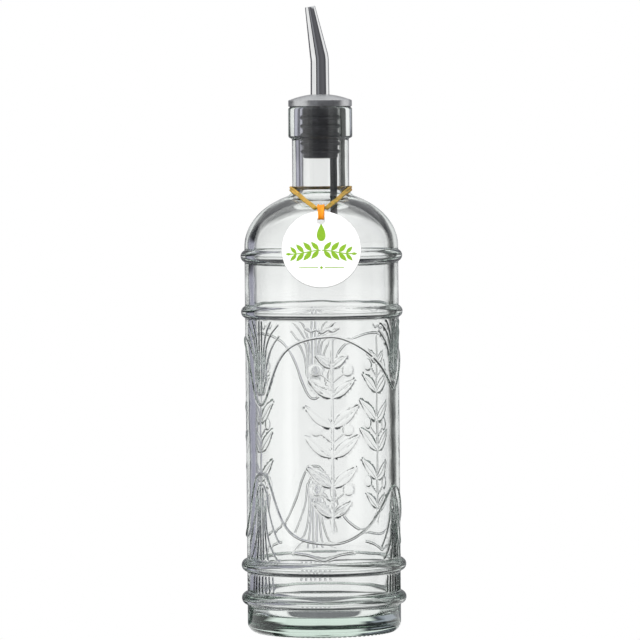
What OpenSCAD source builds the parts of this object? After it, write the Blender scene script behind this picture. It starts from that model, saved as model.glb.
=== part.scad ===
// Pressed glass oil and vinegar bottle with a steel and rubber pourer, and a round hang tag on an
// elastic neck band. The bottle stands on Z = 0 with its axis on Z. The tag hangs on the -Y side.
// All sizes are in millimetres.

/* [Bottle body] */
// Outer diameter of the plain body
body_d = 73; // [69:0.5:77]
// Thickness of the glass in the body wall
wall = 4; // [3:0.25:5]
// Height of the straight body, where the domed shoulder begins
shoulder_z = 183.5; // [178:0.5:188]
// Height of the shoulder's elliptical dome, taken to the axis
dome_h = 26.5; // [25:0.5:28]
// Radius that rounds the heel
heel_r = 5; // [3:0.5:6]
// Glass under the inside of the bottle, at its edge
base_glass = 9; // [7:0.5:12]
// Radius between the inside wall and the inside floor
floor_r = 8; // [5:0.5:10]
// Rise of the hollow under the base, and of the floor above it
push_up = 3; // [2:0.25:5]
// Width of the flat ring that the bottle stands on
bearing_w = 6; // [4:0.5:8]

/* [Beads round the body] */
// Radius of each bead's round back
bead_r = 3; // [2.5:0.25:3.5]
// How far the two lower beads stand out of the body
foot_bead_reach = 2.7; // [1.5:0.1:2.8]
// How far the two upper beads stand out of the body
shoulder_bead_reach = 1.9; // [1.2:0.1:2.4]
// Height of the lowest bead
foot_bead_z = 16.5; // [14:0.5:20]
// Distance between the two lower beads
foot_bead_gap = 15.7; // [13:0.1:18]
// Height of the decorated panel, between the second and third beads
panel_h = 120.3; // [112:0.1:122]
// Distance of the top bead below the dome
shoulder_bead_drop = 4.5; // [4:0.25:6]

/* [Relief ornament] */
// How far the ornament stands out of the glass
relief_h = 0.6; // [0.4:0.05:0.8]
// Width of the border's line, and of a sprig's stem
border_w = 1.6; // [1.2:0.1:2]
// Bearing of the middle of the front panel, from -Y towards +X
panel_turn = 7; // [0:1:20]
// Distance of the border's arches below the bead over them
arch_gap = 10.8; // [9.5:0.1:13]
// Distance of the border's lower arches above the bead under them
sill_gap = 12.3; // [10:0.1:14]
// Height of a sprig's lowest leaves above the lower arch
sprig_rise = 12.5; // [10:0.5:16]
// Distance from one pair of leaves to the next
leaf_pitch = 14; // [12.5:0.5:14]
// Length of the longest leaves
leaf_len = 17.5; // [14:0.5:19]
// Radius of the berries
berry_r = 2.9; // [2:0.1:3.2]

/* [Neck and mouth] */
// Height of the glass
glass_h = 249.5; // [244:0.5:256]
// Outer diameter of the neck
neck_d = 27; // [26:0.25:28]
// Diameter of the bore through the neck
bore_d = 19.5; // [18.5:0.1:20.5]
// Radius where the neck runs into the shoulder
neck_fillet = 4; // [3:0.5:5]
// Diameter of the thick lip at the mouth
lip_d = 30.4; // [29.5:0.1:31.5]
// Height of the lip
lip_h = 14.7; // [12:0.1:16]
// Rounding of the lip's edges
lip_round = 1.2; // [0.6:0.1:1.6]

/* [Pourer] */
// Outer diameter of the domed steel cap
cap_d = 30.2; // [29:0.1:31]
// Height of the cap's straight skirt
cap_skirt_h = 2.9; // [2.4:0.1:3.6]
// Rise of the cap's dome above its skirt
cap_dome_h = 3; // [2.2:0.1:3.6]
// Thickness of the steel sheet
cap_sheet = 0.6; // [0.4:0.05:0.8]
// Gap between the skirt and the glass, where the rubber shows
skirt_gap = 0.3; // [0.2:0.05:0.6]
// Length of the rubber plug below its flange
plug_len = 24; // [22:0.5:26]
// Diameter of the plug's core at the flange
plug_top_d = 17; // [16.6:0.1:17.4]
// Diameter of the plug's core at its lower end
plug_tip_d = 16.4; // [16.2:0.1:16.8]
// Number of sealing ribs
rib_count = 5; // [4:1:5]
// Distance from the flange to the first rib
rib_start = 5.3; // [4.5:0.1:5.8]
// Distance from one rib to the next
rib_pitch = 3.9; // [3.4:0.1:4.1]
// Width of a rib where it leaves the core
rib_w = 2.8; // [2:0.1:3.2]
// Height of the land at a rib's tip, which seals on the glass
rib_land = 0.5; // [0.3:0.1:0.8]
// How much smaller in radius each rib is than the one above it
rib_step = 0.06; // [0.02:0.01:0.1]
// Clearance between the first rib and the glass, in radius
plug_fit = 0.05; // [0.02:0.01:0.1]

/* [Spout and breather tube] */
// Outer diameter of the spout where it leaves the cap
spout_d = 9; // [8.6:0.1:9.6]
// Outer diameter of the spout at its bend
spout_bend_d = 8.7; // [8:0.1:9.3]
// Outer diameter of the spout at its tip
spout_tip_d = 4.9; // [4.4:0.1:6]
// Thickness of the spout's wall
spout_wall = 0.5; // [0.4:0.05:0.7]
// Height of the bend above the glass
bend_rise = 21; // [18:0.2:26]
// Radius of the bend, to the tube's middle
bend_sweep = 20; // [12:1:40]
// Length of the leaning part of the spout, above the bend
spout_lean_len = 23.5; // [18:0.5:28]
// Angle by which the spout leans to -X above the bend
spout_lean = 10; // [6:0.5:16]
// Outer diameter of the spout's root in the plug
root_d = 7.8; // [7.4:0.1:8.2]
// Distance of the breather from the pourer's axis
breather_x = 6.2; // [6.1:0.05:6.3]
// Outer diameter of the breather tube
breather_d = 3.4; // [3:0.1:3.6]
// Thickness of the breather tube's wall
breather_wall = 0.6; // [0.4:0.05:0.8]
// Length of the breather tube below the plug
breather_len = 41; // [30:0.5:50]
// Depth to which the breather tube is pushed into the plug
breather_grip = 12; // [8:0.5:16]
// Diameter of the air passage above the breather tube, and of the hole in the cap
vent_d = 1.8; // [1.4:0.1:2]

/* [Hang tag] */
// Diameter of the round card
tag_d = 37.2; // [35.4:0.2:39]
// Thickness of the card
tag_t = 0.6; // [0.4:0.1:1]
// Diameter of the hole in the card
tag_hole_d = 3.6; // [3.3:0.1:4]
// Distance of the hole from the card's edge, to its centre
tag_hole_edge = 4.7; // [4:0.1:5.5]
// Lean of the card on the bottle
tag_lean = 17; // [14.5:0.25:17.5]
// Distance of the hole above the top bead, along the card
tag_hole_rise = 16.6; // [15:0.1:16.9]

/* [Neck band] */
// Width of the flat elastic band
band_w = 2.4; // [1.8:0.1:2.6]
// Thickness of the elastic band
band_t = 1.1; // [0.8:0.1:1.2]
// Distance of the band round the neck below the lip
band_drop = 24; // [22:0.5:25]
// Height of the knot's seat above the start of the dome
knot_rise = 17; // [16.5:0.25:18]
// Radius of the bar of elastic in the middle of the knot
knot_bar_r = 0.75; // [0.6:0.05:0.8]
// Radius of the two lumps at the sides of the knot
knot_lump_r = 1.4; // [1.2:0.05:1.5]
// Width of the loop that holds the card
loop_w = 2.8; // [2:0.1:3]
// Thickness of the loop that holds the card
loop_t = 0.8; // [0.6:0.05:0.9]

/* [Hidden] */

ROUND = 96;        // facets of a full circle, for display only
ARC_STEPS = 8;     // chords in a small rounding
DOME_STEPS = 18;   // chords in the shoulder's dome
EPS = 0.01;        // overlap of cutting tools past a face
REST_GAP = 0.3;    // air between the hanging parts and the glass
LOOP_GAP = 0.1;    // air between the loop and what it holds

body_r = body_d / 2;
neck_r = neck_d / 2;
bore_r = bore_d / 2;
lip_r = lip_d / 2;
lip_z = glass_h - lip_h;
lower_bead_z = foot_bead_z + foot_bead_gap;
upper_bead_z = lower_bead_z + panel_h;
shoulder_bead_z = shoulder_z - shoulder_bead_drop;

// Points of an arc round c, from angle a0 to a1.
function arc(c, r, a0, a1, steps = ARC_STEPS) =
    [for (i = [0 : steps]) let (a = a0 + (a1 - a0) * i / steps) c + r * [cos(a), sin(a)]];

// Outward normal of an ellipse with half-axes a and b at parameter t.
function ellipse_normal(a, b, t) =
    let (v = [b * cos(t), a * sin(t)]) v / norm(v);

// Parameter at which a fillet of radius f leaves the ellipse and meets the vertical line x.
function fillet_start(a, b, f, x, lo = 0, hi = 90, n = 30) =
    let (m = (lo + hi) / 2)
    n == 0 ? m
    : a * cos(m) + f * ellipse_normal(a, b, m)[0] > x + f
        ? fillet_start(a, b, f, x, m, hi, n - 1)
        : fillet_start(a, b, f, x, lo, m, n - 1);

// Outline of a domed shoulder with half-axes a and b from height z0, filleted into a neck of radius x.
function shoulder(a, b, z0, x, f) =
    let (t = fillet_start(a, b, f, x),
         n = ellipse_normal(a, b, t),
         c = [x + f, z0 + b * sin(t) + f * n[1]],
         a0 = 180 + atan2(n[1], n[0]))
    concat([for (i = [0 : DOME_STEPS]) [a * cos(t * i / DOME_STEPS), z0 + b * sin(t * i / DOME_STEPS)]],
           [for (p = arc(c, f, a0, 180)) p]);

outer_shoulder = shoulder(body_r, dome_h, shoulder_z, neck_r, neck_fillet);
inner_shoulder = shoulder(body_r - wall, dome_h - wall, shoulder_z, bore_r,
                          neck_fillet + neck_r - bore_r);

// Radius of the glass, outside, at height z of the shoulder or the neck.
surface_by_z = [for (p = outer_shoulder) [p[1], p[0]]];
function surface_r(z) = lookup(z, surface_by_z);

// Outward normal of the glass at height z, as [radial, up].
SLOPE_STEP = 0.4;
function surface_normal(z) =
    let (slope = (surface_r(z + SLOPE_STEP) - surface_r(z - SLOPE_STEP)) / (2 * SLOPE_STEP),
         v = [1, -slope])
    v / norm(v);

// --- Glass bottle ---

module outer_outline() {
    polygon(concat(
        [[0, 0]],
        arc([body_r - heel_r, heel_r], heel_r, -90, 0),
        outer_shoulder,
        arc([lip_r - lip_round, lip_z + lip_round], lip_round, -90, 0),
        arc([lip_r - lip_round, glass_h - lip_round], lip_round, 0, 90),
        [[0, glass_h]]));
    for (z = [foot_bead_z, lower_bead_z])
        translate([body_r + foot_bead_reach - bead_r, z]) circle(bead_r, $fn = ROUND);
    for (z = [upper_bead_z, shoulder_bead_z])
        translate([body_r + shoulder_bead_reach - bead_r, z]) circle(bead_r, $fn = ROUND);
}

// A shallow dome of the given rise over radius r, standing on height z.
function low_dome(r, rise, z) =
    [for (i = [0 : ARC_STEPS]) let (x = r * i / ARC_STEPS) [x, z + rise * (1 - pow(x / r, 2))]];

inside_r = body_r - wall;
floor_edge_r = inside_r - floor_r;
mouth_round = lip_round / 2;

module cavity_outline() {
    polygon(concat(
        low_dome(floor_edge_r, push_up, base_glass),
        arc([floor_edge_r, base_glass + floor_r], floor_r, -90, 0),
        inner_shoulder,
        arc([bore_r + mouth_round, glass_h - mouth_round], mouth_round, 180, 90),
        [[bore_r + mouth_round, glass_h + EPS], [0, glass_h + EPS]]));
}

PANELS = 3;              // panels round the body, with a fan between each two
RELIEF_ROOT = 0.5;       // depth to which the ornament is rooted in the wall
BORDER_STEPS = 13;       // chords in half of a border's line
LEAF_STEPS = 5;          // chords along a leaf's edge
LEAF_PAIRS = 6;          // pairs of leaves on a sprig
LEAF_ANGLE = 38;         // rise of a leaf from the level
LEAF_SLIMNESS = 0.17;    // half width of a leaf over its length
BERRY_OUT = 7.6;         // distance of a berry from the stem
arch_z = upper_bead_z - arch_gap;
sill_z = lower_bead_z + sill_gap;
half_panel = body_r * 180 / PANELS * PI / 180;           // round the body, from a fan's middle to a panel's

// Fans clockwise from the front panel: reach past the arch, then [half width, sharpness] above and below.
FANS = [[25.6, [13.7, 1.7], [15.4, 2.3]],
        [32.3, [9.6, 2.5], [10.6, 3]],
        [32.3, [9.6, 2.5], [10.6, 3]]];
// Flutes of the fans above and below: [distance from the fan's middle at its tip, and at its end,
// share of the fan's height at its tip, and at its end, how late it flares, width].
UPPER_FLUTES = [[0, 0, 0.14, 0.96, 1, 2.6], [3.1, 11.4, 0.27, 0.87, 3.7, 1.4]];
LOWER_FLUTES = [[0, 0, 0.15, 0.97, 1, 2.4], [2.9, 11.2, 0.28, 0.93, 3.3, 1.4]];

// Height that a border's line keeps from its arch at distance u round the body from a fan's middle.
function border_fall(u, reach, shape) =
    let (s = abs(u)) reach * pow(1 - pow(s / half_panel, 4), 2) / (1 + pow(s / shape[0], shape[1]));

// Place round the body and up it, as the flat drawing shows it from in front.
function seen(p) = [body_r * sin(p[0] / body_r * 180 / PI), p[1]];

// Points beside an open line, at distance d.
function alongside(line, d) =
    [for (i = [0 : len(line) - 1])
        let (t = line[min(i + 1, len(line) - 1)] - line[max(i - 1, 0)])
        line[i] + d * [-t[1], t[0]] / norm(t)];

// A line of the given width, drawn as it is seen from in front.
module ridge(line, width) {
    back = alongside(line, -width / 2);
    polygon([for (p = concat(alongside(line, width / 2), [for (i = [len(back) - 1 : -1 : 0]) back[i]])) seen(p)]);
}

// Line of a flute from a fan's tip at height z0 towards the bead at height z1.
function flute_line(f, z0, z1, side) =
    [for (i = [0 : 5]) let (t = i / 5)
        [side * (f[0] + (f[1] - f[0]) * pow(t, f[4])), z0 + (z1 - z0) * (f[2] + (f[3] - f[2]) * t)]];

// Border and flutes of one half of a fan, above (up = 1) or below (up = -1) the panel.
module half_fan(reach, shape, flutes, up) {
    base = up > 0 ? arch_z : sill_z;
    bead = up > 0 ? upper_bead_z : lower_bead_z;
    ridge([for (i = [-BORDER_STEPS : BORDER_STEPS])
              let (t = i / BORDER_STEPS, u = half_panel * sign(t) * pow(abs(t), 1.5))
              [u, base - up * border_fall(u, reach, shape)]], border_w);
    for (f = flutes, side = f[0] == 0 ? [1] : [-1, 1])
        ridge(flute_line(f, base - up * reach, bead, side), f[5]);
}

module leaf(z, side) {
    sprig_mid = (arch_z + sill_z) / 2;
    length = leaf_len * (1 - pow((z + 4 - sprig_mid) / (0.6 * (arch_z - sill_z)), 2));
    across = side * LEAF_SLIMNESS * length;
    edge = [for (i = [0 : LEAF_STEPS]) let (t = i / LEAF_STEPS) [length * t, across * sin(180 * pow(t, 0.8))]];
    outline = concat(edge, [for (i = [LEAF_STEPS - 1 : -1 : 1]) [edge[i][0], -edge[i][1]]]);
    polygon([for (p = outline)
        seen([side * (p[0] * cos(LEAF_ANGLE) - p[1] * sin(LEAF_ANGLE)),
              z + p[0] * sin(LEAF_ANGLE) + p[1] * cos(LEAF_ANGLE)])]);
}

// A leafy sprig with berries, its two sides alike.
module sprig() {
    low = sill_z + sprig_rise;
    ridge([[0, sill_z + sprig_rise / 2], [0, low + LEAF_PAIRS * leaf_pitch - border_w]], border_w);
    for (side = [-1, 1]) {
        for (i = [0 : LEAF_PAIRS - 1]) leaf(low + i * leaf_pitch, side);
        for (i = [0.5 : 2 : LEAF_PAIRS])
            translate(seen([side * BERRY_OUT, low + i * leaf_pitch + BERRY_OUT * tan(LEAF_ANGLE)]))
                circle(berry_r, $fn = 32);
    }
}

// A flat drawing raised on the glass at the given bearing.
module raised(bearing) intersection() {
    rotate([90, 0, bearing]) linear_extrude(body_r + relief_h) children();
    rotate_extrude($fn = ROUND)
        translate([body_r - RELIEF_ROOT, lower_bead_z]) square([RELIEF_ROOT + relief_h, panel_h]);
}

module ornament() {
    step = 360 / PANELS;
    for (i = [0 : PANELS - 1]) {
        raised(panel_turn + i * step) sprig();
        raised(panel_turn + (i + 0.5) * step) {
            half_fan(FANS[i][0], FANS[i][1], UPPER_FLUTES, 1);
            half_fan(FANS[i][0], FANS[i][2], LOWER_FLUTES, -1);
        }
    }
}

module bottle() color([0.80, 0.88, 0.85, 0.45]) {
    hollow_r = body_r - heel_r - bearing_w;
    rotate_extrude($fn = ROUND) difference() {
        outer_outline();
        cavity_outline();
        polygon(concat([[0, -EPS]], [for (p = low_dome(hollow_r, push_up, 0)) p], [[hollow_r, -EPS]]));
    }
    ornament();
}

// --- Pourer ---

cap_r = cap_d / 2;
skirt_z = glass_h + skirt_gap;
cap_edge_z = skirt_z + cap_skirt_h;
cap_sphere_r = (pow(cap_r, 2) + pow(cap_dome_h, 2)) / (2 * cap_dome_h);
cap_sphere_z = cap_edge_z + cap_dome_h - cap_sphere_r;
flange_r = cap_r - cap_sheet;
flange_top = sqrt(pow(cap_sphere_r - cap_sheet, 2) - pow(flange_r, 2)) + cap_sphere_z;
plug_z = glass_h - plug_len;
spout_r = spout_d / 2;
root_r = root_d / 2;
breather_r = breather_d / 2;
vent_r = vent_d / 2;

module stopper() color([0.17, 0.17, 0.18]) difference() {
    rotate_extrude($fn = ROUND) {
        polygon([[0, plug_z], [plug_tip_d / 2, plug_z], [plug_top_d / 2, glass_h], [flange_r, glass_h],
                 [flange_r, flange_top], [0, flange_top]]);
        for (i = [0 : rib_count - 1])
            let (z = glass_h - rib_start - i * rib_pitch,
                 tip = bore_r - plug_fit - i * rib_step,
                 core = plug_tip_d / 2 - rib_land)
            polygon([[core, z - rib_w / 2], [tip, z - rib_land / 2],
                     [tip, z + rib_land / 2], [core, z + rib_w / 2]]);
    }
    translate([0, 0, plug_z - EPS]) cylinder(r = root_r, h = plug_len + flange_top, $fn = ROUND);
    translate([breather_x, 0, plug_z - EPS]) cylinder(r = breather_r, h = breather_grip + EPS, $fn = ROUND);
    translate([breather_x, 0, plug_z]) cylinder(r = vent_r, h = plug_len + flange_top, $fn = ROUND);
}

// Half section of a domed cap of radius r, whose dome is part of a sphere.
module cap_half(r, sphere_r) {
    top = sqrt(pow(sphere_r, 2) - pow(r, 2)) + cap_sphere_z;
    translate([0, skirt_z - EPS]) square([r, top - skirt_z + EPS]);
    intersection() {
        translate([0, cap_sphere_z]) circle(sphere_r, $fn = 4 * ROUND);
        translate([0, top - EPS]) square([r, cap_sphere_r]);
    }
}

module cap() color([0.72, 0.73, 0.74]) difference() {
    rotate_extrude($fn = ROUND) difference() {
        intersection() {
            cap_half(cap_r, cap_sphere_r);
            translate([0, skirt_z]) square([cap_r, cap_sphere_r]);
        }
        cap_half(flange_r, cap_sphere_r - cap_sheet);
    }
    translate([0, 0, glass_h]) cylinder(r = spout_r, h = cap_sphere_r, $fn = ROUND);
    translate([breather_x, 0, glass_h]) cylinder(r = vent_r, h = cap_sphere_r, $fn = ROUND);
}

bend_z = glass_h + bend_rise;
bend_r = spout_bend_d / 2;
tip_r = spout_tip_d / 2;

bend_len = bend_sweep * spout_lean * PI / 180;            // length of the bend along the tube's middle
TUBE_SIDES = 48;
BEND_STEPS = 5;

// Middle of the tube at distance s past the start of the bend, as [x, z above the bend, lean].
function spine(s) =
    s <= 0 ? [0, s, 0]
    : let (a = min(spout_lean, spout_lean * s / bend_len), rest = max(0, s - bend_len))
      [bend_sweep * (cos(a) - 1) - rest * sin(a), bend_sweep * sin(a) + rest * cos(a), a];

function tube_ring(s, r) =
    let (c = spine(s))
    [for (k = [0 : TUBE_SIDES - 1]) let (a = 360 * k / TUBE_SIDES, out = r * cos(a))
        [c[0] + out * cos(c[2]), r * sin(a), bend_z + c[1] + out * sin(c[2])]];

// Rings of the tube's outside from the root to the tip, as [distance past the bend's start, radius].
outer_rings = concat(
    [[plug_z - bend_z, root_r], [flange_top - bend_z, root_r], [flange_top - bend_z, spout_r]],
    [for (i = [0 : BEND_STEPS]) [bend_len * i / BEND_STEPS, bend_r]],
    [[bend_len + spout_lean_len, tip_r]]);
// The same for its inside, from the tip back to the root.
inner_rings = [for (i = [len(outer_rings) - 1 : -1 : 0])
    [outer_rings[i][0] + (i == 1 || i == 2 ? spout_wall : 0), outer_rings[i][1] - spout_wall]];

// A closed surface through a list of rings, whose last ring joins the first.
module ring_tube(rings) {
    count = len(rings);
    points = [for (r = rings) each tube_ring(r[0], r[1])];
    faces = [for (i = [0 : count - 1], k = [0 : TUBE_SIDES - 1])
        let (a = i * TUBE_SIDES, b = (i + 1) % count * TUBE_SIDES, j = (k + 1) % TUBE_SIDES)
        each [[a + k, b + j, a + j], [a + k, b + k, b + j]]];
    polyhedron(points, faces);
}

module spout() color([0.75, 0.76, 0.77]) ring_tube(concat(outer_rings, inner_rings));

module breather_tube() color([0.22, 0.23, 0.25])
    translate([breather_x, 0, plug_z - breather_len]) difference() {
        cylinder(r = breather_r, h = breather_len + breather_grip, $fn = ROUND);
        translate([0, 0, -EPS])
            cylinder(r = breather_r - breather_wall, h = breather_len + breather_grip + 2 * EPS, $fn = ROUND);
    }

// --- Elastic neck band ---

band_z = lip_z - band_drop;
seat_z = shoulder_z + knot_rise;
seat_normal = surface_normal(seat_z);
knot_off = REST_GAP + loop_t + LOOP_GAP + knot_bar_r;    // from the glass to the knot's axis
knot_y = -(surface_r(seat_z) + knot_off * seat_normal[0]);
knot_z = seat_z + knot_off * seat_normal[1];
band_off = REST_GAP + band_t / 2;                        // from the glass to the band's middle
side_r = surface_r(band_z) + band_off;
lump_x = loop_w / 2 + LOOP_GAP + knot_lump_r;
FRONT_STEPS = 18;                                        // stations from the knot to the side of the neck
BACK_STEPS = 24;                                         // stations round the back of the neck
BAND_SIDES = 12;

// Station of the band at distance x from the middle plane, between the knot and the side of the neck, as
// [position, normal]. It follows the glass, and leaves it for the knot.
function front_station(x, side) =
    let (s = (x - lump_x) / (side_r - lump_x),
         z = seat_z + (band_z - seat_z) * s,
         n = surface_normal(z),
         near = max(0, 1 - (x - lump_x) / (2 * lump_x)),
         off = band_off + (knot_off - band_off) * near * near * (3 - 2 * near),
         r = surface_r(z) + off * n[0],
         a = asin(min(1, x / r)))
    [[side * r * sin(a), -r * cos(a), z + off * n[1]], [side * n[0] * sin(a), -n[0] * cos(a), n[1]]];

function back_station(a) =
    [[side_r * cos(a), side_r * sin(a), band_z], [cos(a), sin(a), 0]];

start_angle = asin(lump_x / side_r);
function front_x(i) = side_r * sin(start_angle + (90 - start_angle) * i / FRONT_STEPS);
band_stations = concat(
    [for (i = [0 : FRONT_STEPS - 1]) front_station(front_x(i), 1)],
    [for (i = [0 : BACK_STEPS]) back_station(180 * i / BACK_STEPS)],
    [for (i = [FRONT_STEPS - 1 : -1 : 0]) front_station(front_x(i), -1)]);

// Ring of points of the band's oval section at station i.
function band_ring(i) =
    let (last = len(band_stations) - 1,
         p = band_stations[i][0],
         t = band_stations[min(i + 1, last)][0] - band_stations[max(i - 1, 0)][0],
         b = cross(t, band_stations[i][1]) / norm(cross(t, band_stations[i][1])),
         n = cross(b, t) / norm(cross(b, t)))
    [for (k = [0 : BAND_SIDES - 1]) let (a = 360 * k / BAND_SIDES)
        p + n * cos(a) * band_t / 2 + b * sin(a) * band_w / 2];

module band_strip() {
    rings = len(band_stations);
    points = [for (i = [0 : rings - 1]) each band_ring(i)];
    walls = [for (i = [0 : rings - 2], k = [0 : BAND_SIDES - 1]) let (j = (k + 1) % BAND_SIDES)
        each [[i * BAND_SIDES + k, (i + 1) * BAND_SIDES + j, i * BAND_SIDES + j],
              [i * BAND_SIDES + k, (i + 1) * BAND_SIDES + k, (i + 1) * BAND_SIDES + j]]];
    first = [for (k = [0 : BAND_SIDES - 1]) k];
    end = [for (k = [BAND_SIDES - 1 : -1 : 0]) (rings - 1) * BAND_SIDES + k];
    polyhedron(points, concat(walls, [first, end]));
}

module neck_band() color([0.86, 0.60, 0.14]) union() {
    band_strip();
    translate([0, knot_y, knot_z]) {
        rotate([0, 90, 0]) cylinder(r = knot_bar_r, h = 2 * lump_x, center = true, $fn = 32);
        for (side = [-1, 1]) translate([side * lump_x, 0, 0]) sphere(knot_lump_r, $fn = 32);
    }
}

// --- Hang tag and its loop ---

tag_r = tag_d / 2;
hole_up = tag_r - tag_hole_edge;
// Middle of the top bead's round back at the front, as [y, z], and the card's directions: up it, and out of it.
bead_centre = [-(body_r + shoulder_bead_reach - bead_r), shoulder_bead_z];
card_up = [sin(tag_lean), cos(tag_lean)];
card_out = [-cos(tag_lean), sin(tag_lean)];
hole_centre = bead_centre + card_out * (bead_r + REST_GAP + tag_t / 2) + card_up * tag_hole_rise;
card_centre = hole_centre - card_up * hole_up;

module tag() color([0.97, 0.97, 0.96])
    translate([0, card_centre[0], card_centre[1]]) rotate([90 - tag_lean, 0, 0]) difference() {
        cylinder(r = tag_r, h = tag_t, center = true, $fn = ROUND);
        translate([0, hole_up, 0]) cylinder(r = tag_hole_d / 2, h = 2 * tag_t, center = true, $fn = ROUND);
    }

// The loop is drawn from the side, as [up the card, out of the card] from the hole's middle. It runs from the
// hole over the card's edge to the front of the knot's bar, round the bar, and back down behind the card.
knot_from_hole = [([knot_y, knot_z] - hole_centre) * card_up, ([knot_y, knot_z] - hole_centre) * card_out];
strand_off = tag_t / 2 + LOOP_GAP + loop_t / 2;          // from the card's middle to a strand's middle
bar_off = knot_bar_r + LOOP_GAP + loop_t / 2;            // from the bar's axis to the loop's middle
loop_low = loop_t;                                       // lowest point of the loop in the hole
turn_r = strand_off / 2;
front_bend = [tag_hole_edge + LOOP_GAP, strand_off];
back_bend = [tag_hole_edge / 2, -strand_off];
BAR_STEPS = 14;

// Angle at which a line from point p touches the loop's round course about the bar, on the given side.
function touch(p, side) =
    let (d = knot_from_hole - p) atan2(d[1], d[0]) + side * (90 + asin(bar_off / norm(d)));

loop_path = concat(
    [[loop_low, 0], [loop_low + turn_r * 0.4, turn_r], [loop_low + turn_r * 1.4, strand_off], front_bend],
    arc(knot_from_hole, bar_off, touch(front_bend, 1), touch(back_bend, -1), BAR_STEPS),
    [back_bend, [loop_low + turn_r * 1.4, -strand_off], [loop_low + turn_r * 0.4, -turn_r]]);

function on_side(p) = hole_centre + p[0] * card_up + p[1] * card_out;

// Path moved sideways by d at each of its points, as a closed outline.
function beside(path, d) =
    [for (i = [0 : len(path) - 1])
        let (n = len(path),
             into = path[i] - path[(i + n - 1) % n],
             out = path[(i + 1) % n] - path[i],
             t = into / norm(into) + out / norm(out),
             s = [t[1], -t[0]] / norm(t))
        path[i] + s * d];

module tag_loop() color([0.95, 0.58, 0.06])
    rotate([90, 0, 90]) translate([0, 0, -loop_w / 2]) linear_extrude(loop_w) difference() {
        polygon([for (p = beside(loop_path, -loop_t / 2)) on_side(p)]);
        polygon([for (p = beside(loop_path, loop_t / 2)) on_side(p)]);
    }

bottle();
stopper();
cap();
spout();
breather_tube();
neck_band();
tag();
tag_loop();
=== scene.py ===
"""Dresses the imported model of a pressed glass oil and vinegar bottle, with its pourer and hang tag.

Sizes are in millimetres, as on a drawing, and become metres where a mesh is made. The bottle stands on
Z = 0 with its axis on Z, and the tag hangs on the -Y side, towards the camera.
"""

import logging
import math
from dataclasses import dataclass, field
from enum import Enum
from typing import Sequence

import bmesh
import bpy
import numpy as np
from mathutils import Euler, Matrix, Vector
from mathutils.geometry import delaunay_2d_cdt


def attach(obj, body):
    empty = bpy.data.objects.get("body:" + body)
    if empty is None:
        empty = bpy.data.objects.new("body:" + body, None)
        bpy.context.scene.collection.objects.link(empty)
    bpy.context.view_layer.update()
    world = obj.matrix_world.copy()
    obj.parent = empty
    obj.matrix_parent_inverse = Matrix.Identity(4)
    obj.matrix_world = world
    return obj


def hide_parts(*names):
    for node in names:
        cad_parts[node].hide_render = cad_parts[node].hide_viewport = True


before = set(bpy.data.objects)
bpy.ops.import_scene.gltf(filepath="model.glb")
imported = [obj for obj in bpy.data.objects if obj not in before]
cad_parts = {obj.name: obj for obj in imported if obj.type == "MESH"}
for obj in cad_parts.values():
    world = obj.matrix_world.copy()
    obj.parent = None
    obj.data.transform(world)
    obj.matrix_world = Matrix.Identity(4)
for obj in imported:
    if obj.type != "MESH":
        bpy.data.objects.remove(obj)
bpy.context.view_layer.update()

LOG = logging.getLogger("bottle")
MM = 0.001

Point = tuple[float, float]
Outline = list[Point]
Triple = tuple[float, float, float]


# --- Colours, nodes and meshes ---


def linear_colour(code: str) -> tuple[float, float, float, float]:
    """Turns an sRGB hex colour to the linear values that a shader takes.

    Args:
        code: the colour, such as "#86B21A".

    Returns:
        Red, green and blue in linear light, and an alpha of 1.
    """
    parts = [int(code[i : i + 2], 16) / 255 for i in (1, 3, 5)]
    linear = [c / 12.92 if c <= 0.04045 else ((c + 0.055) / 1.055) ** 2.4 for c in parts]
    return (linear[0], linear[1], linear[2], 1.0)


def add_node(tree: bpy.types.NodeTree, kind: str, inputs: dict | None = None, **settings) -> bpy.types.Node:
    """Adds a shader node with its settings, its values and its links.

    Args:
        tree: the node tree that gets the node.
        kind: the node's type, without the word ShaderNode in front.
        inputs: input name or number to a value, or to the output socket that feeds it.
        settings: attributes of the node itself.

    Returns:
        The new node.
    """
    node = tree.nodes.new("ShaderNode" + kind)
    for name, value in settings.items():
        setattr(node, name, value)
    for name, value in (inputs or {}).items():
        if isinstance(value, bpy.types.NodeSocket):
            tree.links.new(value, node.inputs[name])
        else:
            node.inputs[name].default_value = value
    return node


def new_material(name: str) -> tuple[bpy.types.Material, bpy.types.NodeTree, bpy.types.Node]:
    """Makes an empty node material.

    Args:
        name: the finish's name.

    Returns:
        The material, its node tree and its output node.
    """
    material = bpy.data.materials.new(name)
    material.use_nodes = True
    tree = material.node_tree
    tree.nodes.clear()
    return material, tree, add_node(tree, "OutputMaterial")


def ramp(
    tree: bpy.types.NodeTree, value: bpy.types.NodeSocket, stops: Sequence[tuple[float, str]]
) -> bpy.types.NodeSocket:
    """Adds a Color Ramp node.

    Args:
        tree: the node tree that gets the node.
        value: what is turned to a colour, from 0 to 1.
        stops: position from 0 to 1 and hex colour of each stop, in rising order.

    Returns:
        The colour.
    """
    node = add_node(tree, "ValToRGB", {"Fac": value})
    elements = node.color_ramp.elements
    while len(elements) > 1:
        elements.remove(elements[-1])
    elements[0].position = stops[0][0]
    elements[0].color = linear_colour(stops[0][1])
    for place, code in stops[1:]:
        elements.new(place).color = linear_colour(code)
    return node.outputs["Color"]


def map_range(
    tree: bpy.types.NodeTree,
    value: bpy.types.NodeSocket,
    low: float,
    high: float,
    start: float = 0.0,
    end: float = 1.0,
) -> bpy.types.NodeSocket:
    """Turns values from low to high into values from start to end, and goes no further than these."""
    inputs = {"Value": value, "From Min": low, "From Max": high, "To Min": start, "To Max": end}
    return add_node(tree, "MapRange", inputs).outputs["Result"]


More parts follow.
